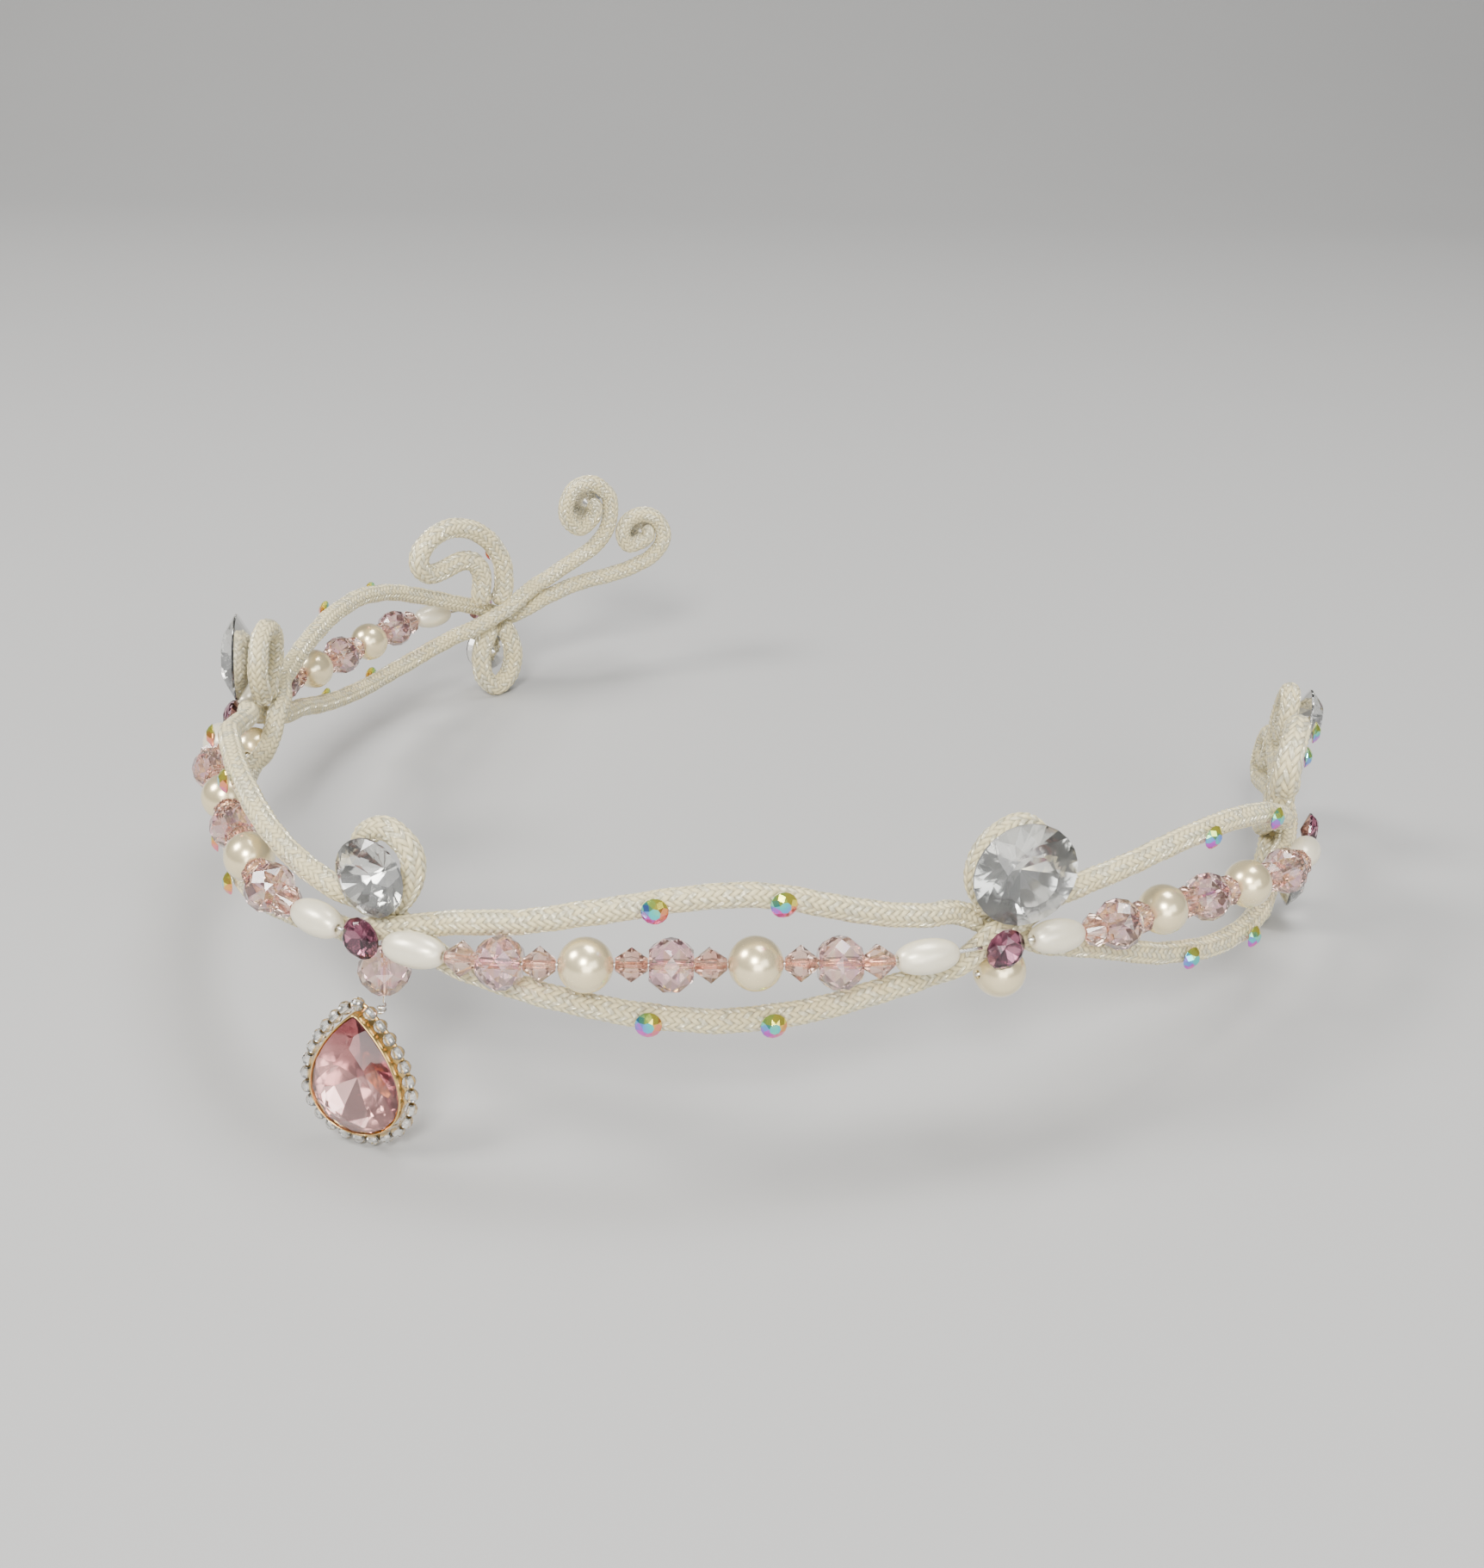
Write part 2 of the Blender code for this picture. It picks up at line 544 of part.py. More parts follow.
for name, (verts, faces, colour, roughness, metallic) in SHAPES.items():
    placed = (verts @ TURN_TO_REST.T - SHIFT) / 1000.0
    mesh = bpy.data.meshes.new(name)
    mesh.from_pydata([tuple(float(c) for c in v) for v in placed], [], faces)
    mesh.update()
    material = bpy.data.materials.new(name + "_material")
    material.use_nodes = True
    shader = material.node_tree.nodes["Principled BSDF"]
    shader.inputs["Base Color"].default_value = (*colour, 1.0)
    shader.inputs["Roughness"].default_value = roughness
    shader.inputs["Metallic"].default_value = metallic
    mesh.materials.append(material)
    obj = bpy.data.objects.new(name, mesh)
    bpy.context.scene.collection.objects.link(obj)
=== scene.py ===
"""Forehead tiara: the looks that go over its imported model.

Braided cords, strung beads, cut stones and the pear pendant are built in millimetres in the
tiara's own frame (front joint at the origin, +x right, +y back, +z up) from the same named
sizes as the part's source, then turned and shifted into the pose in which it rests.
"""

import math

import bpy
import numpy as np
from mathutils import Matrix, Vector


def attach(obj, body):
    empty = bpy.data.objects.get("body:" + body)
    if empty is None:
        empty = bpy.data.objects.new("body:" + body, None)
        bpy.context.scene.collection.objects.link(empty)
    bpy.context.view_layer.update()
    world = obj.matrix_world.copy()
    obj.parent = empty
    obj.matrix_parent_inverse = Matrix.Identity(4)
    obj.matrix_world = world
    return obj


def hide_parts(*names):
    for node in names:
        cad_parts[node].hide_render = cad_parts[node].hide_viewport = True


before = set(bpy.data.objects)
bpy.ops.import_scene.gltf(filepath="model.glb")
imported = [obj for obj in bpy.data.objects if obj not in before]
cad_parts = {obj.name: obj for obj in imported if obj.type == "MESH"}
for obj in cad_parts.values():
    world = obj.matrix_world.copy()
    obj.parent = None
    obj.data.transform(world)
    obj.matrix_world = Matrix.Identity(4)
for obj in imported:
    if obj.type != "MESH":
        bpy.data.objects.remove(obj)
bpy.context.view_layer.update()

# Sizes shared with the part's source, in millimetres and degrees. A panel is the way round the
# circlet from one joint to the next. A side is 1 on the photo's right and -1 on its left.
PANEL = 69.3
CORD_D = 2.7
LOOP_CORD_D = 3.3
CLEAR = 0.3
PEARL_D = 6.0
RICE_D, RICE_L = 3.9, 7.4
RONDELLE_D, RONDELLE_L = 6.0, 4.7
BICONE_D, BICONE_L = 4.0, 3.45
BEAD_GAP = 0.08
JOINT_PEARL_D = 5.6
FRONT_STONE_D = 9.0
SIDE_STONE_D = 12.0
BACK_STONE_D = 8.2
SCROLL_STONE_D = (7.95, 6.9)
PURPLE_D = 4.8
AB_D = 2.9
PEAR_W, PEAR_H = 10.0, 14.0
RIM_BEAD_D = 1.6
RIM_BEADS = 26
LAYER = 1.53
LAYER_HOLD, LAYER_FADE = 1.9, 7.2
SEAT = -0.7
SEAT_FADE = 22.5
# The circlet's headings and the band's rise, at numbers of panels from the front.
TURN_AT = (0.0, 0.5, 1.0, 1.5, 2.0, 2.5)
TURN = {
    1: (0.0, 33.4, 54.0, 68.9, 104.0, 110.0),
    -1: (0.0, 37.5, 63.2, 76.7, 113.6, 142.3),
}
LIFT_AT = (0.0, 1.0, 2.0, 2.6)
LIFT = {1: (0.0, 2.78, -1.72, -21.0), -1: (0.0, 1.88, 0.38, -0.38)}
# The heights of the upper and the lower cord at shares of the front and of the back panel.
FRONT_AT = (0.0, 0.06, 0.12, 0.24, 0.34, 0.45, 0.55, 0.63, 0.72, 0.80, 0.88, 0.94, 1.0)
FRONT_UP = (0.0, 0.9, 1.65, 2.92, 4.43, 5.93, 6.75, 6.38, 4.8, 3.45, 2.47, 1.8, 0.0)
FRONT_LOW = (0.0, -1.88, -3.15, -4.88, -6.3, -7.5, -8.18, -7.95, -7.2, -6.15, -5.1, -3.45, 0.0)
BACK_AT = (0.0, 0.06, 0.12, 0.25, 0.33, 0.42, 0.55, 0.65, 0.75, 0.85, 0.93, 1.0)
BACK_UP = (0.0, 1.35, 2.55, 4.72, 6.0, 7.27, 8.1, 7.5, 5.85, 3.68, 1.88, 0.0)
BACK_LOW = (0.0, -1.88, -3.22, -5.1, -6.6, -7.8, -8.55, -8.1, -6.75, -4.65, -2.4, 0.0)
BACK_SCALE = {1: 1.03, -1: 0.92}
# How far out a string of beads hangs at shares of its panel, and what is threaded on it.
STRING_AT = (0.0, 0.16, 0.24, 0.33, 0.42, 0.58, 0.67, 0.76, 0.84, 1.0)
STRING_OUT = (3.38, 3.22, 2.62, 1.5, 0.75, 0.75, 1.5, 2.62, 3.22, 3.38)
STRING_SAG = 1.0
STRING_START = 2.8
STRING_END = 3.3
BEADS = ("rice", "bicone", "rondelle", "bicone", "pearl", "bicone", "rondelle",
         "bicone", "pearl", "bicone", "rondelle", "bicone", "rice")
# The scrolls, hooks and loops, as points: the way round from their joint, then the height.
UPPER_SCROLL = ((0.0, 0.0), (4.35, 2.1), (9.75, 4.95), (14.4, 7.65), (18.45, 10.2), (21.15, 13.2),
                (22.2, 17.02), (21.3, 20.48), (18.45, 22.2), (15.6, 21.38), (14.02, 18.75),
                (14.4, 15.67), (16.65, 14.17), (18.9, 16.05), (19.2, 17.9), (18.1, 18.9))
LOWER_SCROLL = ((0.0, 0.0), (4.2, -1.12), (9.75, 1.65), (15.52, 3.9), (21.38, 5.47), (25.8, 6.9),
                (29.55, 8.93), (31.5, 11.25), (31.8, 13.88), (30.45, 16.05), (27.9, 16.8),
                (25.5, 15.6), (24.53, 13.2), (25.88, 11.18), (28.58, 12.45), (28.9, 13.7),
                (28.2, 14.3))
HOOK = ((1.0, 1.3), (1.88, 3.35), (2.17, 5.4), (1.65, 9.15), (-0.52, 12.6), (-3.45, 14.85),
        (-6.75, 15.67), (-10.05, 14.85), (-12.67, 12.75), (-13.2, 10.27), (-11.55, 8.48),
        (-8.62, 8.7), (-5.7, 9.75), (-3.15, 9.3), (-1.95, 7.05), (-1.88, 5.1), (-2.03, 3.75),
        (-1.2, 1.5))
LOW_LOOP = ((0.1, -1.7), (-0.75, -3.45), (-1.72, -5.55), (-2.17, -8.25), (-1.35, -11.55),
            (1.05, -13.42), (3.45, -11.55), (4.28, -8.25), (3.82, -5.55), (2.85, -3.45),
            (1.9, -1.7))
FRONT_LOOP = ((-0.8, 1.4), (-1.54, 2.7), (-2.85, 4.5), (-3.6, 6.9), (-2.85, 9.6), (0.0, 11.25),
              (2.85, 9.6), (3.6, 6.9), (2.85, 4.5), (1.54, 2.7), (0.8, 1.4))
SIDE_LOOP = ((-0.9, 1.6), (-1.54, 3.22), (-3.15, 5.18), (-3.97, 7.65), (-3.07, 10.5), (0.0, 12.0),
             (3.07, 10.5), (3.97, 7.65), (3.15, 5.18), (1.54, 3.22), (0.9, 1.6))
STONE_RISE = 7.8
LOOP_LEAN_AT = 7.5
SIDE_LEAN = {1: 1.42, -1: 0.68}
SIDE_STONE_TURN = 12.0
SIDE_STONE_OUT = 0.8
PEARL_AWAY, PEARL_DROP, PEARL_OUT = 1.1, 4.9, 0.9
HOOK_REACH = {1: 1.0, -1: 1.2}
TAIL_LOW = {1: 0.16, -1: 0.0}
TAIL_LOW_FROM = 6.0
PENDANT_CENTRE = (-0.68, -3.9, -16.95)
PENDANT_YAW = 12.0

# Where the stones sit: the way round from their joint, then the height.
FRONT_STONE_AT = (0.2, 6.6)
FRONT_PURPLE_AT = (0.0, -0.1)
SIDE_PURPLE_AT = (-0.45, -0.7)
BACK_STONE_AT = (1.05, -7.4)
SCROLL_STONES_AT = {"upper": (18.2, 18.2), "lower": (28.2, 13.1)}
HOOK_STONES_AT = ((1.2, 10.2), (-3.3, 14.7))
CORD_STONES_ALONG = {0: (30.7, 43.8), 1: (30.6, 44.4)}

# How each kind of stone is cut: its table and the depth of its point as shares of its width, the
# heights of its crown, its girdle and its seat in millimetres, and how many main facets it has.
STONE_CUT = {
    "clear": {"table": 0.50, "point": 0.32, "crown": 1.7, "girdle": 0.3, "seat": 1.3, "mains": 12},
    "plum": {"table": 0.60, "point": 0.1875, "crown": 1.0, "girdle": 0.3, "seat": 1.0, "mains": 8},
    "rainbow": {"table": 0.44, "point": 0.0931, "crown": 0.68, "girdle": 0.12, "seat": 0.3,
                "mains": 8},
}
# The corners of the star facets, as a share of the way from the girdle to the table, and where the
# long facets behind the girdle meet, as shares of the radius and of the depth.
STAR_SHARE = 0.52
KEEL_R, KEEL_Z = 0.42, 0.58
RAINBOW_TABLE = 0.24  # the place of a coated stone's table in the rainbow
STONE_SLOT = {"clear": "clear_stone", "plum": "purple_stone", "rainbow": "rainbow_stone"}

# How the tiara rests on its pendant and its low loops: tipped back and a little to the photo's
# left, in degrees, then shifted, in millimetres.
REST_TIP, REST_LEAN = -5.9089, -0.6577
REST_SHIFT = (5.1808, 62.4329, -26.0941)

# The camera of the photograph, in metres.
CAMERA_AT = (0.1050528, -0.1859348, 0.1266565)
CAMERA_RIGHT = (0.873406, 0.486154, 0.028569)
CAMERA_UP = (-0.242844, 0.383934, 0.890854)
CAMERA_LENS, CAMERA_SENSOR = 39.90, 36.0

# The braid: strands each way round the cord, how steeply they lie, and their relief.
STRANDS = 12
LAY_PER_DIAMETER = 4.0
STRAND_WAVE, STRAND_CROWN = 0.09, 0.16
STRAND_FLANK = 1.96  # how far a strand's round section comes down at its edges, 2 being all the way
ROWS_PER_STRAND = 6  # rows of points along the cord for each strand that it passes
POINTS_PER_STRAND = 3  # points round the cord for each strand
HAND_WOBBLE = 0.03  # how far the line of a cord bent by hand strays
HALF_POINTS = 36  # points of a cord's path from the front joint to a back one
END_ROUNDING = 0.45  # the length of a cord's rounded end, in diameters

# The beads.
BORE_D, WIRE_D = 0.9, 0.44
WIRE_SIDES = 8
PEARL_GROWN = 0.4  # a joint pearl is drawn up to the pieces that it is glued between

# The pendant, in millimetres from the pear stone's edge and from its girdle.
PEAR_MAINS = 10
PEAR_POINT = 0.85  # how drawn out the pear's point is
CUP_WALL = CLEAR + 0.3
RIM_LINE, RIM_DEPTH = CUP_WALL + RIM_BEAD_D / 2 + 0.05, -0.7
RIM_BORE = 0.3
RIM_MOUTH = 0.42  # the angle off its axis at which a rim bead is cut off for its bore
THREAD_R, THREAD_BACK = 0.24, 0.25
DROP_OUT, DROP_BEAD_Z = 0.3, -5.6
DROP_WIRE_R = 0.18
COIL_R, COIL_TOP, COIL_FALL, COIL_STEPS = 0.42, -9.6, 1.2, 24

rng = np.random.default_rng(7)


def smooth_through(x, known_x, known_y):
    """A smooth curve through the known points that doesn't overshoot between them."""
    kx = np.asarray(known_x, float)
    ky = np.asarray(known_y, float)
    step = np.diff(kx)
    slope = np.diff(ky) / step
    tangent = np.zeros(len(kx))
    for i in range(1, len(kx) - 1):
        if slope[i - 1] * slope[i] > 0:
            near = 2 * step[i] + step[i - 1]
            far = step[i] + 2 * step[i - 1]
            tangent[i] = (near + far) / (near / slope[i - 1] + far / slope[i])
    for end, first, second in ((0, 0, 1), (-1, -1, -2)):
        value = (2 * step[first] + step[second]) * slope[first] - step[first] * slope[second]
        value /= step[first] + step[second]
        if value * slope[first] <= 0:
            value = 0.0
        elif slope[first] * slope[second] < 0 and abs(value) > 3 * abs(slope[first]):
            value = 3 * slope[first]
        tangent[end] = value
    x = np.clip(np.asarray(x, float), kx[0], kx[-1])
    i = np.clip(np.searchsorted(kx, x, side="right") - 1, 0, len(kx) - 2)
    t = (x - kx[i]) / step[i]
    return (
        ky[i] * (1 + 2 * t) * (1 - t) ** 2
        + tangent[i] * step[i] * t * (1 - t) ** 2
        + ky[i + 1] * t**2 * (3 - 2 * t)
        + tangent[i + 1] * step[i] * t**2 * (t - 1)
    )


def plan_of(side):
    """The circlet's plan on one side: distances, x, y and headings."""
    s = np.linspace(0, 2.6 * PANEL, 1041)
    heading = np.radians(smooth_through(s / PANEL, TURN_AT, TURN[side]))
    step = s[1] - s[0]
    middle = (heading[1:] + heading[:-1]) / 2
    x = np.concatenate([[0.0], np.cumsum(np.cos(middle) * step)])
    y = np.concatenate([[0.0], np.cumsum(np.sin(middle) * step)])
    return s, side * x, y, heading


PLAN = {side: plan_of(side) for side in (1, -1)}


def place(side, s, h, o):
    """A point of the tiara's frame from the distance along, the height and the distance out."""
    grid, x, y, heading = PLAN[side]
    if s < 0:
        return place(-side, -s, h, o)
    turn = np.interp(s, grid, heading)
    rise = float(smooth_through(s / PANEL, LIFT_AT, LIFT[side]))
    return np.array([
        np.interp(s, grid, x) + o * side * math.sin(turn),
        np.interp(s, grid, y) - o * math.cos(turn),
        h + rise,
    ])


def outward(side, s):
    """The level direction out of the circlet at a distance along."""
    if s < 0:
        return outward(-side, -s)
    turn = np.interp(s, PLAN[side][0], PLAN[side][3])
    return np.array([side * math.sin(turn), -math.cos(turn), 0.0])


def unit(v):
    return v / np.linalg.norm(v)


def spun(first, second, angle):
    """Two cross directions turned together by an angle."""
    return (math.cos(angle) * first + math.sin(angle) * second,
            math.cos(angle) * second - math.sin(angle) * first)


def set_on(centre, points, first, second, third):
    """Points of a piece's own frame, set at a centre along three directions."""
    return centre + points[:, :1] * first + points[:, 1:2] * second + points[:, 2:] * third


def run_along(points):
    """The distance walked to each point of a line."""
    return np.concatenate([[0.0], np.cumsum(np.linalg.norm(np.diff(points, axis=0), axis=1))])


def through(points, step):
    """A smooth curve through the points, with samples about one step apart."""
    p = np.asarray(points, float)
    p = np.vstack([2 * p[0] - p[1], p, 2 * p[-1] - p[-2]])
    out = []
    for i in range(1, len(p) - 2):
        count = max(1, int(round(np.linalg.norm(p[i + 1] - p[i]) / step)))
        for k in range(count):
            t = k / count
            out.append(0.5 * (
                2 * p[i]
                + (p[i + 1] - p[i - 1]) * t
                + (2 * p[i - 1] - 5 * p[i] + 4 * p[i + 1] - p[i + 2]) * t**2
                + (3 * p[i] - p[i - 1] - 3 * p[i + 1] + p[i + 2]) * t**3
            ))
    out.append(p[-2])
    return np.array(out)


def frames_along(points, first_side, closed=False):
    """Two cross directions at each point, carried along without twisting."""
    ahead = np.roll(points, -1, axis=0) - np.roll(points, 1, axis=0)
    if not closed:
        ahead[0] = points[1] - points[0]
        ahead[-1] = points[-1] - points[-2]
    across = np.asarray(first_side, float)
    sides, ups = [], []
    for tangent in ahead:
        tangent = unit(tangent)
        across = unit(across - tangent * np.dot(across, tangent))
        sides.append(across)
        ups.append(np.cross(tangent, across))
    return np.array(sides), np.array(ups)


def evenly(points, step):
    """The curve walked in equal steps."""
    run = run_along(points)
    at = np.arange(0.0, run[-1], step)
    return np.stack([np.interp(at, run, points[:, k]) for k in range(3)], axis=1)


def added(name, data):
    """A new object of the scene that shows the mesh, light or camera given."""
    made = bpy.data.objects.new(name, data)
    bpy.context.scene.collection.objects.link(made)
    return made


class Board:
    """Lays out the nodes of one material or group."""

    def __init__(self, tree):
        self.tree = tree

    def put(self, socket, value):
        if isinstance(value, bpy.types.NodeSocket):
            self.tree.links.new(value, socket)
        elif socket.type == "RGBA" and len(value) == 3:
            socket.default_value = (*value, 1.0)
        else:
            socket.default_value = value

    def node(self, kind, inputs=None, **settings):
        made = self.tree.nodes.new(kind)
        for key, value in settings.items():
            setattr(made, key, value)
        for key, value in (inputs or {}).items():
            self.put(made.inputs[key], value)
        return made

    def math(self, operation, *values, clamp=False):
        made = self.node("ShaderNodeMath", operation=operation, use_clamp=clamp)
        for socket, value in zip(made.inputs, values):
            self.put(socket, value)
        return made.outputs[0]

    def mix(self, factor, first, second):
        """Between two colours by a factor."""
        made = self.node("ShaderNodeMix", data_type="RGBA")
        for index, value in zip((0, 6, 7), (factor, first, second)):
            self.put(made.inputs[index], value)
        return made.outputs[2]

    def blend(self, factor, first, second):
        """Between two values by a factor."""
        made = self.node("ShaderNodeMix", data_type="FLOAT")
        for index, value in zip((0, 2, 3), (factor, first, second)):
            self.put(made.inputs[index], value)
        return made.outputs[0]

    def noise(self, scale, detail=2.0, stretch=None):
        space = self.node("ShaderNodeTexCoord").outputs["Object"]
        if stretch:
            space = self.node("ShaderNodeMapping", {"Vector": space, "Scale": stretch}).outputs[0]
        made = self.node("ShaderNodeTexNoise", {"Vector": space, "Scale": scale, "Detail": detail})
        return made.outputs["Fac"]

    def ramp(self, factor, stops):
        made = self.node("ShaderNodeValToRGB")
        elements = made.color_ramp.elements
        while len(elements) < len(stops):
            elements.new(0.5)
        for element, (at, colour) in zip(elements, stops):
            element.position = at
            element.color = (*colour, 1.0)
        self.put(made.inputs[0], factor)
        return made.outputs[0]


def group(name, inputs, outputs, lay):
    """A shader node group with named inputs and outputs, laid out by lay(board, inputs)."""
    tree = bpy.data.node_groups.new(name, "ShaderNodeTree")
    for key, (kind, value) in inputs.items():
        socket = tree.interface.new_socket(key, in_out="INPUT", socket_type=kind)
        socket.default_value = (*value, 1.0) if kind == "NodeSocketColor" else value
    for key, kind in outputs.items():
        tree.interface.new_socket(key, in_out="OUTPUT", socket_type=kind)
    board = Board(tree)
    entry = board.node("NodeGroupInput")
    leave = board.node("NodeGroupOutput")
    made = lay(board, {key: entry.outputs[key] for key in inputs})
    for key, value in made.items():
        board.put(leave.inputs[key], value)
    return tree


def use(board, tree, **inputs):
    """Places a group in a material, with this material's own values."""
    made = board.node("ShaderNodeGroup", node_tree=tree)
    for key, value in inputs.items():
        board.put(made.inputs[key.replace("_", " ")], value)
    return made.outputs


FLOAT, COLOUR = "NodeSocketFloat", "NodeSocketColor"
THREADS_PER_STRAND = 5


def lay_braid(board, inputs):
    """Strands that pass over and under in pairs, with the fine threads each one is made of."""
    place_on = board.node("ShaderNodeUVMap", uv_map="braid").outputs[0]
    parts = board.node("ShaderNodeSeparateXYZ", {0: place_on}).outputs
    rises, threads, stitches = [], [], []
    for own, other, sign in ((parts[0], parts[1], 1.0), (parts[1], parts[0], -1.0)):
        strand = board.math("FLOOR", own)
        across = board.math("SUBTRACT", board.math("SUBTRACT", own, strand), 0.5)
        turn = board.math("SUBTRACT", board.math("ADD", strand, other), 1.0)
        wave = board.math("COSINE", board.math("MULTIPLY", turn, math.pi / 2))
        over = board.math("MULTIPLY", wave, sign)
        width = board.math("MULTIPLY", across, STRAND_FLANK)
        crown = board.math("SQRT", board.math("SUBTRACT", 1.0, board.math("MULTIPLY", width, width)))
        rises.append(board.math("ADD", board.math("MULTIPLY", over, 0.35),
                                board.math("MULTIPLY", crown, 0.65)))
        slanted = board.math("ADD", across, board.math("MULTIPLY", other, 0.12))
        lines = board.math("MULTIPLY", slanted, 2 * math.pi * THREADS_PER_STRAND)
        threads.append(board.math("SINE", lines))
        stitch = board.math("FLOOR", board.math("MULTIPLY", board.math("ADD", turn, 1.0), 0.25))
        seed = board.node("ShaderNodeCombineXYZ", {0: strand, 1: stitch, 2: 3.0 + sign}).outputs[0]
        stitches.append(board.node("ShaderNodeTexWhiteNoise", {"Vector": seed}).outputs["Value"])
    top = board.math("GREATER_THAN", rises[0], rises[1])
    height = board.math("MAXIMUM", *rises)
    thread = board.blend(top, threads[1], threads[0])
    relief = board.math("ADD", height, board.math("MULTIPLY", thread, inputs["Thread depth"]))
    # Painted shade: a mask that is high where the strands lie low, down in the grooves between them,
    # for darkening the colour there.
    filled = board.math("MULTIPLY", board.math("ADD", height, 0.02), 1.15)
    return {
        "Relief": relief,
        "Painted groove shade": board.math("SUBTRACT", 1.0, filled, clamp=True),
        "Tone": board.blend(top, stitches[1], stitches[0]),
        "Thread": thread,
    }


def lay_facets(board, inputs):
    """A tone that steps from facet to facet, softened by clouding within the stone."""
    step = board.node("ShaderNodeAttribute", attribute_name="facet").outputs["Fac"]
    tone = board.blend(inputs["Clouding"], step, board.noise(900.0, 1.0))
    return {"Colour": board.mix(tone, inputs["Dark"], inputs["Light"])}


def lay_rainbow(board, inputs):
    """The colours of a rainbow coating, which change with the way that a facet faces."""
    step = board.node("ShaderNodeAttribute", attribute_name="facet").outputs["Fac"]
    drift = board.math("MULTIPLY", board.math("SUBTRACT", board.noise(500.0, 1.0), 0.5), 0.25)
    at = board.math("FRACT", board.math("ADD", step, drift))
    bands = board.ramp(at, (
        (0.0, (1.0, 0.90, 0.05)), (0.13, (0.55, 0.90, 0.12)), (0.24, (0.0, 0.66, 0.60)),
        (0.31, (0.12, 0.24, 0.88)), (0.39, (0.60, 0.02, 0.72)), (0.56, (0.90, 0.01, 0.42)),
        (0.80, (0.98, 0.34, 0.04)), (0.90, (1.0, 0.85, 0.05)), (1.0, (1.0, 0.90, 0.05)),
    ))
    return {"Colour": board.mix(inputs["Strength"], inputs["Body"], bands)}


def lay_handling(board, inputs):
    """A polish dulled in places by faint smudges and specks from handling."""
    smudge = board.noise(220.0, 3.0)
    speck = board.noise(4200.0, 2.0)
    marks = board.math("MULTIPLY", board.math("MULTIPLY", smudge, speck), inputs["Amount"])
    return {"Roughness": board.math("ADD", inputs["Polish"], marks)}


BRAID = group("Braid relief", {"Thread depth": (FLOAT, 0.06)},
              {"Relief": FLOAT, "Painted groove shade": FLOAT, "Tone": FLOAT, "Thread": FLOAT}, lay_braid)
FACETS = group("Facet tones", {"Dark": (COLOUR, (0.2, 0.2, 0.2)), "Light": (COLOUR, (1, 1, 1)),
                               "Clouding": (FLOAT, 0.15)}, {"Colour": COLOUR}, lay_facets)
RAINBOW = group("Rainbow coating", {"Body": (COLOUR, (1, 1, 1)), "Strength": (FLOAT, 0.5)},
                {"Colour": COLOUR}, lay_rainbow)
HANDLING = group("Handling marks", {"Polish": (FLOAT, 0.1), "Amount": (FLOAT, 0.2)},
                 {"Roughness": FLOAT}, lay_handling)


def material(name, lay, **plain):
    """A Principled material: lay(board) gives its linked inputs, plain gives the constant ones."""
    made = bpy.data.materials.new(name)
    made.use_nodes = True
    board = Board(made.node_tree)
    shader = made.node_tree.nodes["Principled BSDF"]
    for key, value in plain.items():
        board.put(shader.inputs[key.replace("_", " ")], value)
    for key, value in lay(board).items():
        board.put(shader.inputs[key], value)
    return made


def bump(board, height, strength, distance):
    return board.node("ShaderNodeBump", {"Height": height, "Strength": strength,
                                         "Distance": distance}).outputs[0]


def ivory_cord(board):
    """Ivory strands with shiny metal thread in some of them, and painted shade darkening them down in
    the gaps between strands.
    """
    braid = use(board, BRAID, Thread_depth=0.07)
    lurex = board.math("GREATER_THAN", braid["Tone"], 0.6)
    warm = board.mix(board.noise(260.0, 2.0), (0.85, 0.72, 0.38), (0.96, 0.87, 0.55))
    thread = board.mix(board.math("MULTIPLY", lurex, 0.7), warm, (1.0, 0.96, 0.74))
    toned = board.mix(board.math("MULTIPLY", braid["Thread"], 0.18), thread, (0.46, 0.36, 0.15))
    # Painted shade: the grooves between strands are painted a near-black brown.
    colour = board.mix(braid["Painted groove shade"], toned, (0.12, 0.08, 0.03))
    return {
        "Base Color": colour,
        "Roughness": board.blend(lurex, 0.42, 0.2),
        "Metallic": board.math("MULTIPLY", lurex, 0.5),
        "Normal": bump(board, braid["Relief"], 1.0, 0.00034),
    }


def pearl_cream(board):
    """The cream coat of a round pearl."""
    marks = use(board, HANDLING, Polish=0.24, Amount=0.08)
    return {
        "Base Color": board.mix(board.noise(180.0, 2.0), (0.91, 0.75, 0.42), (0.98, 0.86, 0.56)),
        "Roughness": marks["Roughness"],
        "Normal": bump(board, board.noise(3200.0, 3.0), 0.012, 0.0001),
    }


def pearl_satin(board):
    """The whiter coat of a rice pearl, streaked along its length."""
    marks = use(board, HANDLING, Polish=0.3, Amount=0.2)
    streak = board.noise(700.0, 2.0, stretch=(1.0, 1.0, 4.0))
    return {
        "Base Color": board.mix(streak, (0.84, 0.76, 0.55), (0.93, 0.87, 0.70)),
        "Roughness": marks["Roughness"],
        "Normal": bump(board, streak, 0.08, 0.0001),
    }


def crystal(dark, light, clouding=0.1):
    """Glass whose facets differ a little in tone."""
    def lay(board):
        facets = use(board, FACETS, Dark=dark, Light=light, Clouding=clouding)
        return {"Base Color": facets["Colour"]}
    return lay


def foil(dark, light, polish, clouding=0.1):
    """The bright foil behind a stone, a tone to each facet."""
    def lay(board):
        facets = use(board, FACETS, Dark=dark, Light=light, Clouding=clouding)
        marks = use(board, HANDLING, Polish=polish, Amount=0.15)
        return {"Base Color": facets["Colour"], "Roughness": marks["Roughness"]}
    return lay


def rainbow_crystal(board):
    """Rose glass with a thin rainbow coating."""
    facets = use(board, FACETS, Dark=(0.96, 0.52, 0.50), Light=(1.0, 0.84, 0.80), Clouding=0.1)
    coat = use(board, RAINBOW, Body=facets["Colour"], Strength=0.16)
    return {"Base Color": coat["Colour"]}


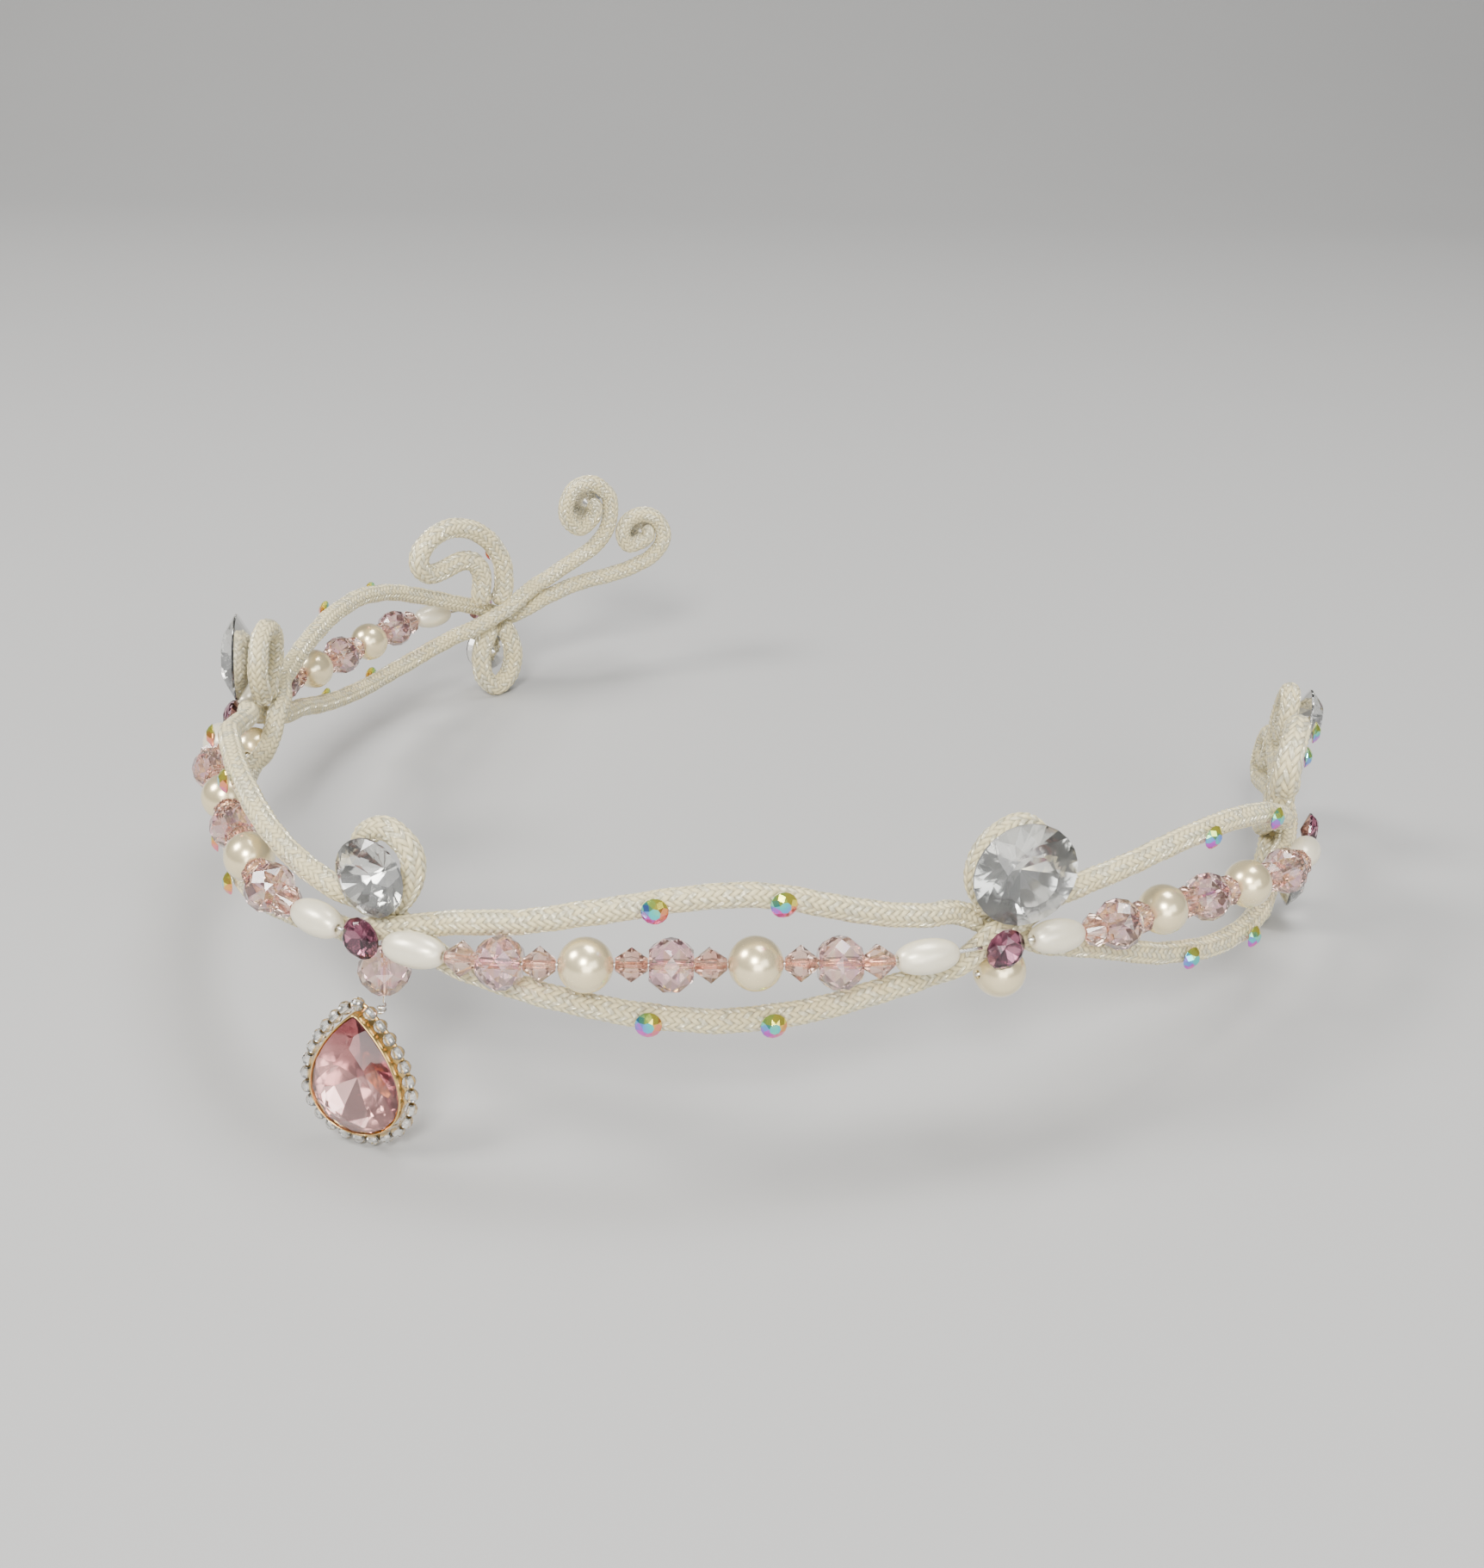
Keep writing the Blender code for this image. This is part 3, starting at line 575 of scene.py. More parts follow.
def rainbow_foil(board):
    """A small stone whose rainbow coating hides the glass."""
    coat = use(board, RAINBOW, Body=(0.85, 0.85, 0.9), Strength=0.92)
    marks = use(board, HANDLING, Polish=0.08, Amount=0.15)
    return {"Base Color": coat["Colour"], "Roughness": marks["Roughness"]}


def bright_gold(board):
    marks = use(board, HANDLING, Polish=0.14, Amount=0.3)
    return {
        "Base Color": board.mix(board.noise(300.0, 2.0), (0.78, 0.50, 0.16), (0.95, 0.70, 0.32)),
        "Roughness": marks["Roughness"],
        "Normal": bump(board, board.noise(1500.0, 2.0), 0.1, 0.0001),
    }


def silver_wire(board):
    marks = use(board, HANDLING, Polish=0.2, Amount=0.3)
    return {
        "Base Color": board.mix(board.noise(400.0, 2.0), (0.84, 0.82, 0.78), (0.93, 0.92, 0.89)),
        "Roughness": marks["Roughness"],
    }


GLASS = {"Transmission_Weight": 1.0, "Roughness": 0.02, "IOR": 1.54}
BEAD_GLASS = {"Transmission_Weight": 0.95, "Roughness": 0.02, "IOR": 1.5}
FINISH = {
    "cord": material("ivory_braid", ivory_cord, Specular_IOR_Level=0.6, Sheen_Weight=0.15),
    "pearl": material("cream_pearl", pearl_cream, Metallic=0.7, Coat_Weight=1.0,
                      Coat_Roughness=0.08),
    "rice": material("satin_pearl", pearl_satin, Metallic=0.3, Coat_Weight=0.4,
                     Coat_Roughness=0.15),
    "bicone": material("peach_crystal", crystal((0.95, 0.53, 0.42), (1.0, 0.82, 0.72)),
                       **BEAD_GLASS),
    "rondelle": material("rainbow_rose_crystal", rainbow_crystal, Coat_Weight=0.5,
                         Coat_Roughness=0.02, **BEAD_GLASS),
    "clear": material("clear_crystal", crystal((0.93, 0.95, 0.95), (1.0, 1.0, 1.0), 0.2), **GLASS),
    "clear_foil": material("silver_foil", foil((0.66, 0.66, 0.64), (1.0, 0.99, 0.96), 0.05),
                           Metallic=0.9),
    "plum": material("plum_crystal", crystal((0.60, 0.28, 0.38), (0.93, 0.66, 0.74)), **GLASS),
    "plum_foil": material("plum_foil", foil((0.12, 0.05, 0.08), (0.72, 0.42, 0.52), 0.08),
                          Metallic=1.0),
    "rose": material("rose_crystal", crystal((0.98, 0.60, 0.60), (1.0, 0.80, 0.79)), **GLASS),
    # The rose foil's light end carries the pendant's painted highlight, reached at the stone's lower
    # left.
    "rose_foil": material("rose_foil", foil((0.36, 0.10, 0.14), (1.0, 0.84, 0.80), 0.07, 0.06),
                          Metallic=0.84),
    "rainbow": material("rainbow_foil", rainbow_foil, Metallic=0.9, Coat_Weight=0.4,
                        Coat_Roughness=0.03),
    "gold": material("bright_gold", bright_gold, Metallic=1.0),
    "wire": material("silver_wire", silver_wire, Metallic=1.0),
}


REST_TURN = np.array(Matrix.Rotation(math.radians(REST_TIP), 3, "X")
                     @ Matrix.Rotation(math.radians(REST_LEAN), 3, "Y"))


def resting(points):
    """Points of the tiara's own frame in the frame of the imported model, in metres."""
    return (np.asarray(points, float) @ REST_TURN.T - REST_SHIFT) / 1000.0


class Shape:
    """Faces gathered for one piece, each with its finish, shading and facet tone."""

    def __init__(self):
        self.verts = []
        self.faces = []
        self.finish = []
        self.smooth = []
        self.tone = []

    def add(self, verts, faces, finish, smooth=False, tones=None):
        start = len(self.verts)
        self.verts += [tuple(v) for v in np.asarray(verts, float)]
        for number, face in enumerate(faces):
            self.faces.append(tuple(start + i for i in face))
            self.finish.append(finish[number] if isinstance(finish, list) else finish)
            self.smooth.append(smooth)
            self.tone.append(0.5 if tones is None else float(tones[number]))

    def piece(self, name, node, slot):
        """Makes the piece that shows in the node's place."""
        mesh = bpy.data.meshes.new(name)
        placed = resting(np.array(self.verts))
        mesh.from_pydata([tuple(v) for v in placed], [], self.faces)
        finishes = sorted(set(self.finish))
        for finish in finishes:
            mesh.materials.append(FINISH[finish])
        order = {finish: index for index, finish in enumerate(finishes)}
        mesh.polygons.foreach_set("material_index", [order[f] for f in self.finish])
        mesh.polygons.foreach_set("use_smooth", self.smooth)
        mesh.attributes.new("facet", "FLOAT", "FACE").data.foreach_set("value", self.tone)
        mesh.update()
        settle(mesh, name, node, slot)


def settle(mesh, name, node, slot):
    """Puts a mesh in the scene in place of a node, moving with the one body."""
    piece = added(name, mesh)
    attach(piece, "root")
    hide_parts(node)


def rings_to_faces(count, sides, closed=False):
    """The faces between rings of points, with an end face at each end of an open row."""
    faces = []
    for i in range(count if closed else count - 1):
        j = (i + 1) % count
        for k in range(sides):
            m = (k + 1) % sides
            faces.append((i * sides + k, i * sides + m, j * sides + m, j * sides + k))
    if not closed:
        faces.append(tuple(reversed(range(sides))))
        faces.append(tuple(range((count - 1) * sides, count * sides)))
    return faces


def facing_out(verts, faces):
    """The faces turned so that the closed body faces out."""
    verts = np.asarray(verts, float)
    volume = 0.0
    for face in faces:
        a = verts[face[0]]
        for b, c in zip(face[1:-1], face[2:]):
            volume += np.dot(a, np.cross(verts[b], verts[c]))
    return [tuple(reversed(face)) for face in faces] if volume < 0 else faces


def add_tube(shape, points, radius, sides, finish, first_side=(0, 0, 1), closed=False):
    """A round tube along a line."""
    points = np.asarray(points, float)
    across, up = frames_along(points, first_side, closed)
    angles = (np.arange(sides) + 0.5) * 2 * math.pi / sides
    round_it = (np.cos(angles)[None, :, None] * across[:, None, :]
                + np.sin(angles)[None, :, None] * up[:, None, :])
    verts = (points[:, None, :] + radius * round_it).reshape(-1, 3)
    faces = facing_out(verts, rings_to_faces(len(points), sides, closed))
    shape.add(verts, faces, finish, smooth=True)


# The cords.


def strand_relief(a, b):
    """How far the braid stands out where the two sets of strands are at a and b."""
    rises = []
    for own, other, sign in ((a, b, 1.0), (b, a, -1.0)):
        strand = np.floor(own + 1e-6)
        across = own - strand - 0.5
        over = sign * np.cos(math.pi / 2 * (strand + other - 1.0))
        crown = np.sqrt(np.clip(1 - (STRAND_FLANK * across) ** 2, 0, 1))
        rises.append(STRAND_WAVE * over + STRAND_CROWN * crown)
    return np.maximum(*rises)


def braided_cord(name, node, path, diameter, first_side=(0, 0, 1)):
    """A braided cord as one closed mesh whose vertices lie along its strands."""
    lay = LAY_PER_DIAMETER * diameter
    step = lay / (ROWS_PER_STRAND * STRANDS)
    line = evenly(through(path, step * 1.5), step)
    count, sides = len(line), POINTS_PER_STRAND * STRANDS
    run = np.arange(count) * step
    across, up = frames_along(line, first_side)
    wobble = HAND_WOBBLE * (np.sin(run * 0.61 + 1.0) + np.sin(run * 1.37))
    line = line + wobble[:, None] * across + 0.7 * wobble[::-1][:, None] * up
    index = np.arange(sides)[None, :] + 0.5 * (np.arange(count) % 2)[:, None]
    turns = index / sides
    along = (np.arange(count) / ROWS_PER_STRAND)[:, None]
    relief = strand_relief(STRANDS * turns + along, STRANDS * turns - along)
    core = diameter / 2 - STRAND_WAVE - STRAND_CROWN + 0.05
    radius = (core + relief) * (1 + 0.012 * np.sin(run * 0.45))[:, None]
    end_run = np.minimum(run, run[-1] - run)
    close = np.clip(1 - end_run / (diameter * END_ROUNDING), 0, 0.97)
    radius = radius * np.sqrt(1 - close**2)[:, None]
    angle = 2 * math.pi * turns
    points = (line[:, None, :] + radius[:, :, None] * (
        np.cos(angle)[:, :, None] * across[:, None, :] + np.sin(angle)[:, :, None] * up[:, None, :]))
    n, k = np.meshgrid(np.arange(count - 1), np.arange(sides), indexing="ij")
    odd = n % 2
    near = ((n, k), (n, k + 1), (n + 1, k + odd))
    far = ((n, k + 1 - odd), (n + 1, k + 1), (n + 1, k))
    corners = []
    for triangle in (near, far):
        corners.append(np.stack([np.stack(np.broadcast_arrays(r, c), -1) for r, c in triangle], 2))
    corners = np.concatenate([c.reshape(-1, 3, 2) for c in corners])
    rows, columns = corners[..., 0], corners[..., 1]
    corner_vertex = rows * sides + columns % sides
    corner_turn = STRANDS * (columns + 0.5 * (rows % 2)) / sides
    passed = rows / ROWS_PER_STRAND
    uv = np.stack([corner_turn + passed, corner_turn - passed], -1).reshape(-1, 2)
    verts = points.reshape(-1, 3)
    a, b, c = (verts[corner_vertex[:, i]] for i in range(3))
    if np.einsum("ij,ij->i", a, np.cross(b, c)).sum() < 0:
        corner_vertex = corner_vertex[:, ::-1]
        uv = uv.reshape(-1, 3, 2)[:, ::-1].reshape(-1, 2)
    caps = [list(range(sides)), list(range((count - 1) * sides, count * sides))]
    middle = [len(verts), len(verts) + 1]
    verts = np.vstack([verts, verts[caps[0]].mean(axis=0), verts[caps[1]].mean(axis=0)])
    extra, extra_uv = [], []
    for ring, centre, flip in zip(caps, middle, (False, True)):
        for i in range(sides):
            triangle = [ring[(i + 1) % sides], ring[i], centre]
            extra.append(triangle[::-1] if flip else triangle)
            extra_uv += [(0.5, 0.5)] * 3
    corner_vertex = np.vstack([corner_vertex, np.array(extra)])
    uv = np.vstack([uv, np.array(extra_uv)])
    mesh = bpy.data.meshes.new(name)
    mesh.from_pydata(resting(verts), [], corner_vertex, shade_flat=False)
    mesh.uv_layers.new(name="braid").data.foreach_set("uv", uv.astype(np.float32).ravel())
    mesh.materials.append(FINISH["cord"])
    mesh.validate()
    settle(mesh, name, node, "braided_cord")


def crossing_layer(s):
    """1 at a joint, where one cord passes over the other, fading to 0 between joints."""
    away = abs(s - PANEL * round(s / PANEL))
    if away < LAYER_HOLD:
        return 1.0
    if away < LAYER_HOLD + LAYER_FADE:
        return 0.5 + 0.5 * math.cos(math.pi * (away - LAYER_HOLD) / LAYER_FADE)
    return 0.0


def seat(s):
    """How far in the cords' middle line lies near a joint."""
    away = abs(s - PANEL * round(min(s / PANEL, 2)))
    return SEAT * 0.5 * (1 + math.cos(math.pi * min(away / SEAT_FADE, 1)))


def tail_height(side, h):
    """The height of a point of an end on this side: the right one is curled a little lower."""
    return h - TAIL_LOW[side] * max(0.0, h - TAIL_LOW_FROM)


def panel_height(side, panel, u, is_upper):
    """The height of the upper or lower cord at a share u of a panel."""
    if panel == 0:
        return float(smooth_through(u, FRONT_AT, FRONT_UP if is_upper else FRONT_LOW))
    return float(smooth_through(u, BACK_AT, BACK_UP if is_upper else BACK_LOW)) * BACK_SCALE[side]


def half_cord(side, upper_first, layer_first, scroll):
    """One cord from the front joint to the end of its scroll, as points of the frame."""
    points = []
    for k in range(HALF_POINTS):
        s = PANEL * 2 * k / HALF_POINTS
        panel, u = divmod(s / PANEL, 1)
        h = panel_height(side, panel, u, upper_first if panel == 0 else not upper_first)
        sign = layer_first * (-1) ** round(s / PANEL)
        points.append(place(side, s, h, seat(s) + sign * LAYER * crossing_layer(s)))
    for away, h in through(scroll, 2.25):
        s = 2 * PANEL + away
        step_out = layer_first * LAYER * crossing_layer(min(s, 2.4 * PANEL))
        points.append(place(side, s, tail_height(side, h), seat(s) + step_out))
    return points


def main_cord(node, right_upper, layer_first):
    """A whole cord, from the scroll at one end of the tiara to the scroll at the other."""
    right = half_cord(1, right_upper, layer_first, UPPER_SCROLL if right_upper else LOWER_SCROLL)
    left = half_cord(-1, not right_upper, layer_first,
                     LOWER_SCROLL if right_upper else UPPER_SCROLL)
    braided_cord(node + "_braid", node, left[:0:-1] + right, CORD_D)


def surface_loop(node, side, joint, shape, diameter, out, lean=0.0):
    """A loop or hook of cord that stands up or down from a joint, in the circlet's surface."""
    path = []
    for away, h in through(shape, 1.2):
        path.append(place(side, joint * PANEL + away + lean * h / LOOP_LEAN_AT, h, out))
    braided_cord(node + "_braid", node, path, diameter, outward(side, joint * PANEL))


# The beads.


def lathe(profile, sides):
    """A bead turned round the x axis from a closed line of (x, radius) pairs: points and faces."""
    angles = np.arange(sides) * 2 * math.pi / sides
    verts = []
    for x, r in profile:
        verts += [(x, r * math.cos(t), r * math.sin(t)) for t in angles]
    return np.array(verts), rings_to_faces(len(profile), sides, closed=True)


def bore_wall(half, bore, ease, depth):
    """The wall of a bore from mouth to mouth, as (x, radius) pairs, opening out at both ends."""
    return [(half, bore * ease), (half - depth, bore), (depth - half, bore), (-half, bore * ease)]


def turned_bead(half, radius, sides, power=1.0):
    """A round or rice-shaped bead with a bore whose mouths are eased."""
    bore = BORE_D / 2
    first = math.asin(min(0.99, (bore * 1.35) / radius))
    angles = np.linspace(-math.pi / 2 + first, math.pi / 2 - first, 17)
    profile = [(half * math.sin(a), radius * math.cos(a) ** power) for a in angles]
    profile += bore_wall(profile[-1][0] - 0.05, bore, 1.1, 0.25)
    return lathe(profile, sides)


def rondelle_bead(half, radius, sides=9):
    """A rondelle cut all round in kites and diamonds, with a bore."""
    half_step = math.cos(math.pi / sides)
    end, shoulder, belt = 0.56 * radius, 0.955 * radius, radius
    x_kite, x_shoulder = 0.78 * half, 0.36 * half
    kite = (end + (shoulder - end) * (half - x_kite) / (half - x_shoulder)) / half_step
    rings = [
        (-half, end, 0), (-x_kite, kite, 1), (-x_shoulder, shoulder, 0), (0.0, belt, 1),
        (x_shoulder, shoulder, 0), (x_kite, kite, 1), (half, end, 0),
    ]
    rings += [(x, r, 0) for x, r in bore_wall(half, BORE_D / 2, 1.2, 0.3)]
    return staggered(rings, sides)


def bicone_bead(half, radius, sides=8):
    """A bicone with alternating long facets and a bore."""
    rings = [(-half, 0.34 * radius, 1), (0.0, radius, 0), (half, 0.34 * radius, 1)]
    rings += [(x, r, 1) for x, r in bore_wall(half, BORE_D / 2 * 0.9, 1.1, 0.25)]
    return staggered(rings, sides)


def staggered(rings, sides):
    """Faces between rings round the x axis, where some rings are turned by half a step."""
    verts = []
    for x, r, half_turn in rings:
        for k in range(sides):
            t = (k + 0.5 * half_turn) * 2 * math.pi / sides
            verts.append((x, r * math.cos(t), r * math.sin(t)))
    faces = []
    for i in range(len(rings)):
        j = (i + 1) % len(rings)
        turn_i, turn_j = rings[i][2], rings[j][2]
        for k in range(sides):
            m = (k + 1) % sides
            ik, im, jk, jm = i * sides + k, i * sides + m, j * sides + k, j * sides + m
            if turn_i == turn_j:
                faces.append((ik, im, jm, jk))
            elif turn_j:
                faces += [(ik, im, jk), (im, jm, jk)]
            else:
                faces += [(ik, im, jm), (ik, jm, jk)]
    return np.array(verts), faces


def bead_mesh(kind):
    """A bead along the x axis: its length, points, faces, and whether it is smooth."""
    if kind == "pearl":
        return PEARL_D, *turned_bead(PEARL_D / 2, PEARL_D / 2, 32), True
    if kind == "rice":
        return RICE_L, *turned_bead(RICE_L / 2, RICE_D / 2, 28, 0.85), True
    if kind == "rondelle":
        return RONDELLE_L, *rondelle_bead(RONDELLE_L / 2, RONDELLE_D / 2), False
    return BICONE_L, *bicone_bead(BICONE_L / 2, BICONE_D / 2), False


def add_bead(shape, kind, centre, axis, up=(0.0, 0.0, 1.0)):
    """A bead threaded along the axis, turned by chance about its bore."""
    _, verts, faces, smooth = bead_mesh(kind)
    axis = unit(np.asarray(axis, float))
    side = unit(np.cross(up, axis))
    side, top = spun(side, np.cross(axis, side), rng.uniform(0, 2 * math.pi))
    placed = set_on(centre, verts, axis, side, top)
    faces = facing_out(placed - centre, faces)
    shape.add(placed, faces, kind, smooth, rng.uniform(0, 1, len(faces)))


def string_point(side, panel, u):
    """A point of the string that hangs through a panel."""
    out = float(smooth_through(u, STRING_AT, STRING_OUT))
    return place(side, (panel + u) * PANEL, -STRING_SAG * math.sin(math.pi * u), out)


def bead_string(node, side, panel):
    """A whole string of beads on its wire."""
    grid = np.linspace(0, 1, 401)
    line = np.array([string_point(side, panel, u) for u in grid])
    run = run_along(line)

    def on_line(distance):
        return np.array([np.interp(distance, run, line[:, k]) for k in range(3)])

    shape = Shape()
    at = np.interp(STRING_START / PANEL, grid, run)
    start = at
    for kind in BEADS:
        length = bead_mesh(kind)[0]
        ahead = on_line(at + length) - on_line(at)
        add_bead(shape, kind, on_line(at + length / 2), ahead)
        at += length + BEAD_GAP
    end = np.interp(1 - STRING_END / PANEL, grid, run)
    wire = [on_line(d) for d in np.linspace(start - 0.3, end, 60)]
    add_tube(shape, wire, WIRE_D / 2, WIRE_SIDES, "wire")
    shape.piece(node + "_beads", node, "strung_beads")


def round_pearl(node, centre, diameter, axis):
    """A pearl glued under a joint, with the ends of its wire showing."""
    shape = Shape()
    diameter = diameter + PEARL_GROWN
    verts, faces = turned_bead(diameter / 2, diameter / 2, 40)
    axis = unit(np.asarray(axis, float))
    side = unit(np.cross((0, 0, 1), axis))
    placed = set_on(centre, verts, axis, side, np.cross(axis, side))
    shape.add(placed, facing_out(placed - centre, faces), "pearl", True)
    tips = [centre + axis * d for d in np.linspace(-diameter / 2 - 0.1, diameter / 2 + 0.15, 6)]
    add_tube(shape, tips, WIRE_D / 2, WIRE_SIDES, "wire")
    shape.piece(node + "_bead", node, "pearl")


# The cut stones.


def stone_facets(top, star, upper, lower, keel, tip):
    """The facets between the rings of corners of a stone, and which of them are foiled."""
    mains = len(top)
    faces, foiled = [tuple(top)], [False]
    for k in range(mains):
        m = (k + 1) % mains
        a, b, c = 2 * k, 2 * k + 1, (2 * k + 2) % (2 * mains)
        faces += [
            (top[k], star[k], top[m]),
            (top[k], star[k - 1], upper[a], star[k]),
            (star[k], upper[a], upper[b]),
            (star[k], upper[b], upper[c]),
            (upper[a], lower[a], lower[b], upper[b]),
            (upper[b], lower[b], lower[c], upper[c]),
            (keel[k], lower[b], lower[a]),
            (keel[k], lower[c], lower[b]),
            (tip, keel[k], lower[a], keel[k - 1]),
        ]
        foiled += [False] * 6 + [True] * 3
    return faces, foiled


def brilliant(radius, cut):
    """A round brilliant cut, whose z is 0 at the lower edge of its girdle."""
    table, crown, girdle, mains = cut["table"], cut["crown"], cut["girdle"], cut["mains"]
    depth = 2 * radius * cut["point"]
    half_step = math.cos(math.pi / mains)
    star_z = girdle + STAR_SHARE * crown
    star_r = (radius + (table * radius - radius) * STAR_SHARE) / half_step
    lower_r, lower_z = radius * KEEL_R / half_step, -depth * KEEL_Z
    verts = []

    def ring(count, r, z, turn=0.0):
        first = len(verts)
        for k in range(count):
            t = (k + turn) * 2 * math.pi / count
            verts.append((r * math.cos(t), r * math.sin(t), z))
        return [first + k for k in range(count)]

    rings = (ring(mains, table * radius, girdle + crown),
             ring(mains, min(star_r, radius * 0.985), star_z, 0.5),
             ring(2 * mains, radius, girdle),
             ring(2 * mains, radius, 0.0),
             ring(mains, lower_r, lower_z, 0.5))
    verts.append((0.0, 0.0, -depth))
    return np.array(verts), *stone_facets(*rings, len(verts) - 1)


def cut_stone(node, side, s, h, back, diameter, kind, turn=0.0):
    """A foiled stone glued on an outer surface, its back at the distance out given.

    turn swings it round towards the front joint, in degrees.
    """
    cut = STONE_CUT[kind]
    ahead = np.cross(outward(side, s), (0.0, 0.0, 1.0)) * side
    angle = math.radians(turn)
    normal = math.cos(angle) * outward(side, s) + math.sin(angle) * ahead
    across = unit(np.cross((0, 0, 1), normal))
    up = np.cross(normal, across)
    across, up = spun(across, up, rng.uniform(0, 2 * math.pi / cut["mains"]))
    centre = place(side, s, h, back) + cut["seat"] * normal
    verts, faces, foiled = brilliant(diameter / 2, cut)
    placed = set_on(centre, verts, across, up, normal)
    finish = ["rainbow" if kind == "rainbow" else kind + "_foil" if f else kind for f in foiled]
    tones = rng.uniform(0, 1, len(faces))
    if kind == "rainbow":
        middles = np.array([placed[list(face)].mean(axis=0) for face in faces]) - centre
        round_way = np.arctan2(middles @ np.cross(normal, (0, 0, 1)), middles[:, 2])
        tones = (round_way / (2 * math.pi) + 0.12 * tones - 0.02) % 1.0
        tones[0] = RAINBOW_TABLE
    faces = facing_out(placed - centre, faces)
    shape = Shape()
    shape.add(placed, faces, finish, False, tones)
    shape.piece(node + "_cut", node, STONE_SLOT[kind])


# The pendant.


def pear_outline(offset, count, phase=0.0):
    """The pear stone's outline grown by an offset, point up, as even steps of its length."""
    t = np.linspace(0, 2 * math.pi, 721)[:-1]
    x = np.sin(t) * np.abs(np.sin(t / 2)) ** PEAR_POINT
    y = np.cos(t)
    x = x / x.max() * PEAR_W / 2
    y = y * PEAR_H / 2
    line = np.stack([x, y], axis=1)
    ahead = np.roll(line, -1, axis=0) - np.roll(line, 1, axis=0)
    ahead /= np.linalg.norm(ahead, axis=1, keepdims=True)
    line = line + offset * np.stack([-ahead[:, 1], ahead[:, 0]], axis=1)
    loop = np.vstack([line, line[:1]])
    run = run_along(loop)
    at = (np.arange(count) + phase) * run[-1] / count
    return np.stack([np.interp(at, run, loop[:, 0]), np.interp(at, run, loop[:, 1])], axis=1)


def pendant():
    """The cup, its pear stone, the rim of beads and the bead on bent wire above them."""
    yaw = math.radians(PENDANT_YAW)
    normal = np.array([math.sin(yaw), -math.cos(yaw), 0.0])
    across = np.array([math.cos(yaw), math.sin(yaw), 0.0])
    up = np.array([0.0, 0.0, 1.0])
    centre = np.asarray(PENDANT_CENTRE)

    def ring(offset, depth, count, phase=0.0):
        outline = pear_outline(offset, count, phase)
        return [centre + depth * normal + x * across + y * up for x, y in outline]

    setting = Shape()
    wall = CUP_WALL
    profile = (
        (wall - 0.9, -2.5), (wall - 0.35, -2.42), (wall - 0.08, -2.1), (wall, -1.7), (wall, 0.3),
        (wall - 0.05, 0.43), (wall - 0.11, 0.46), (wall - 0.18, 0.43), (wall - 0.2, 0.3),
        (CLEAR + 0.1, 0.1), (CLEAR + 0.08, -1.1), (CLEAR - 0.5, -2.1),
    )
    verts = np.array([ring(offset, depth, 96) for offset, depth in profile]).reshape(-1, 3)
    faces = facing_out(verts - centre, rings_to_faces(len(profile), 96))
    setting.add(verts, faces, "gold", True)
    setting.piece("pendant_setting_cup", "pendant_setting", "gold_setting")

    verts = []

    def corners(points):
        first = len(verts)
        verts.extend(points)
        return [first + k for k in range(len(points))]

    rings = (corners(ring(-1.9, 1.7, PEAR_MAINS)),
             corners(ring(-0.8, 1.15, PEAR_MAINS, 0.5)),
             corners(ring(CLEAR, 0.35, 2 * PEAR_MAINS)),
             corners(ring(CLEAR, 0.0, 2 * PEAR_MAINS)),
             corners(ring(-2.4, -1.1, PEAR_MAINS, 0.5)))
    tip = corners([centre - 2.0 * normal - 0.6 * up])[0]
    faces, foiled = stone_facets(*rings, tip)
    finish = ["rose_foil" if f else "rose" for f in foiled]
    verts = np.array(verts)
    middles = np.array([verts[list(face)].mean(axis=0) for face in faces]) - centre
    # Painted highlight: the foil's tone is painted lighter towards the stone's lower left and darker
    # towards its upper right, then varied at random from facet to facet.
    tones = 0.48 - 0.09 * (middles @ across) - 0.08 * middles[:, 2]
    tones = tones + rng.uniform(-0.2, 0.2, len(faces))
    stone = Shape()
    stone.add(verts, facing_out(verts - centre, faces), finish, False, np.clip(tones, 0, 1))
    stone.piece("pendant_stone_cut", "pendant_stone", "rose_stone")

    rim = Shape()
    line = ring(RIM_LINE, RIM_DEPTH, RIM_BEADS)
    for k, point in enumerate(line):
        axis = unit(line[(k + 1) % RIM_BEADS] - line[k - 1])
        r = RIM_BEAD_D / 2
        angles = np.linspace(RIM_MOUTH - math.pi / 2, math.pi / 2 - RIM_MOUTH, 7)
        profile = [(r * math.sin(a), r * math.cos(a)) for a in angles]
        profile += [(profile[-1][0], RIM_BORE), (profile[0][0], RIM_BORE)]
        bead, bead_faces = lathe(profile, 12)
        placed = set_on(point, bead, axis, normal, np.cross(axis, normal))
        bead_faces = facing_out(placed - point, bead_faces)
        lined = ["clear_foil" if k // 12 in (7, 8) else "clear" for k in range(len(bead_faces))]
        rim.add(placed, bead_faces, lined, False, rng.uniform(0.6, 1, len(bead_faces)))
    thread = [point - THREAD_BACK * normal for point in ring(RIM_LINE, RIM_DEPTH, 120)]
    add_tube(rim, thread, THREAD_R, 8, "gold", normal, closed=True)
    rim.piece("pendant_rim_beads", "pendant_bead_rim", "clear_beads")

    drop = Shape()
    add_bead(drop, "rondelle", np.array([0.0, DROP_OUT, DROP_BEAD_Z]), (0, 0, -1), up=(1, 0, 0))
    wire = [np.array([0.0, DROP_OUT, z]) for z in np.linspace(-1.6, -8.6, 12)]
    wire += [np.array([0.0, DROP_OUT / 2, -9.2])]
    for k in range(COIL_STEPS + 1):
        t = 4 * math.pi * k / COIL_STEPS
        wire.append(np.array([COIL_R * math.sin(t), -0.25 + COIL_R * math.cos(t),
                              COIL_TOP - COIL_FALL * k / COIL_STEPS]))
    add_tube(drop, wire, DROP_WIRE_R, WIRE_SIDES, "wire", (1, 0, 0))
    drop.piece("pendant_drop_bead", "pendant_drop_wire", "strung_beads")


SIDE_NAMES = {1: "right", -1: "left"}
CROSS_OUT = SEAT + LAYER + CORD_D / 2 + CLEAR
CORD_BACK = CORD_D / 2 + CLEAR
LOOP_BACK = SEAT + LOOP_CORD_D / 2 + CLEAR

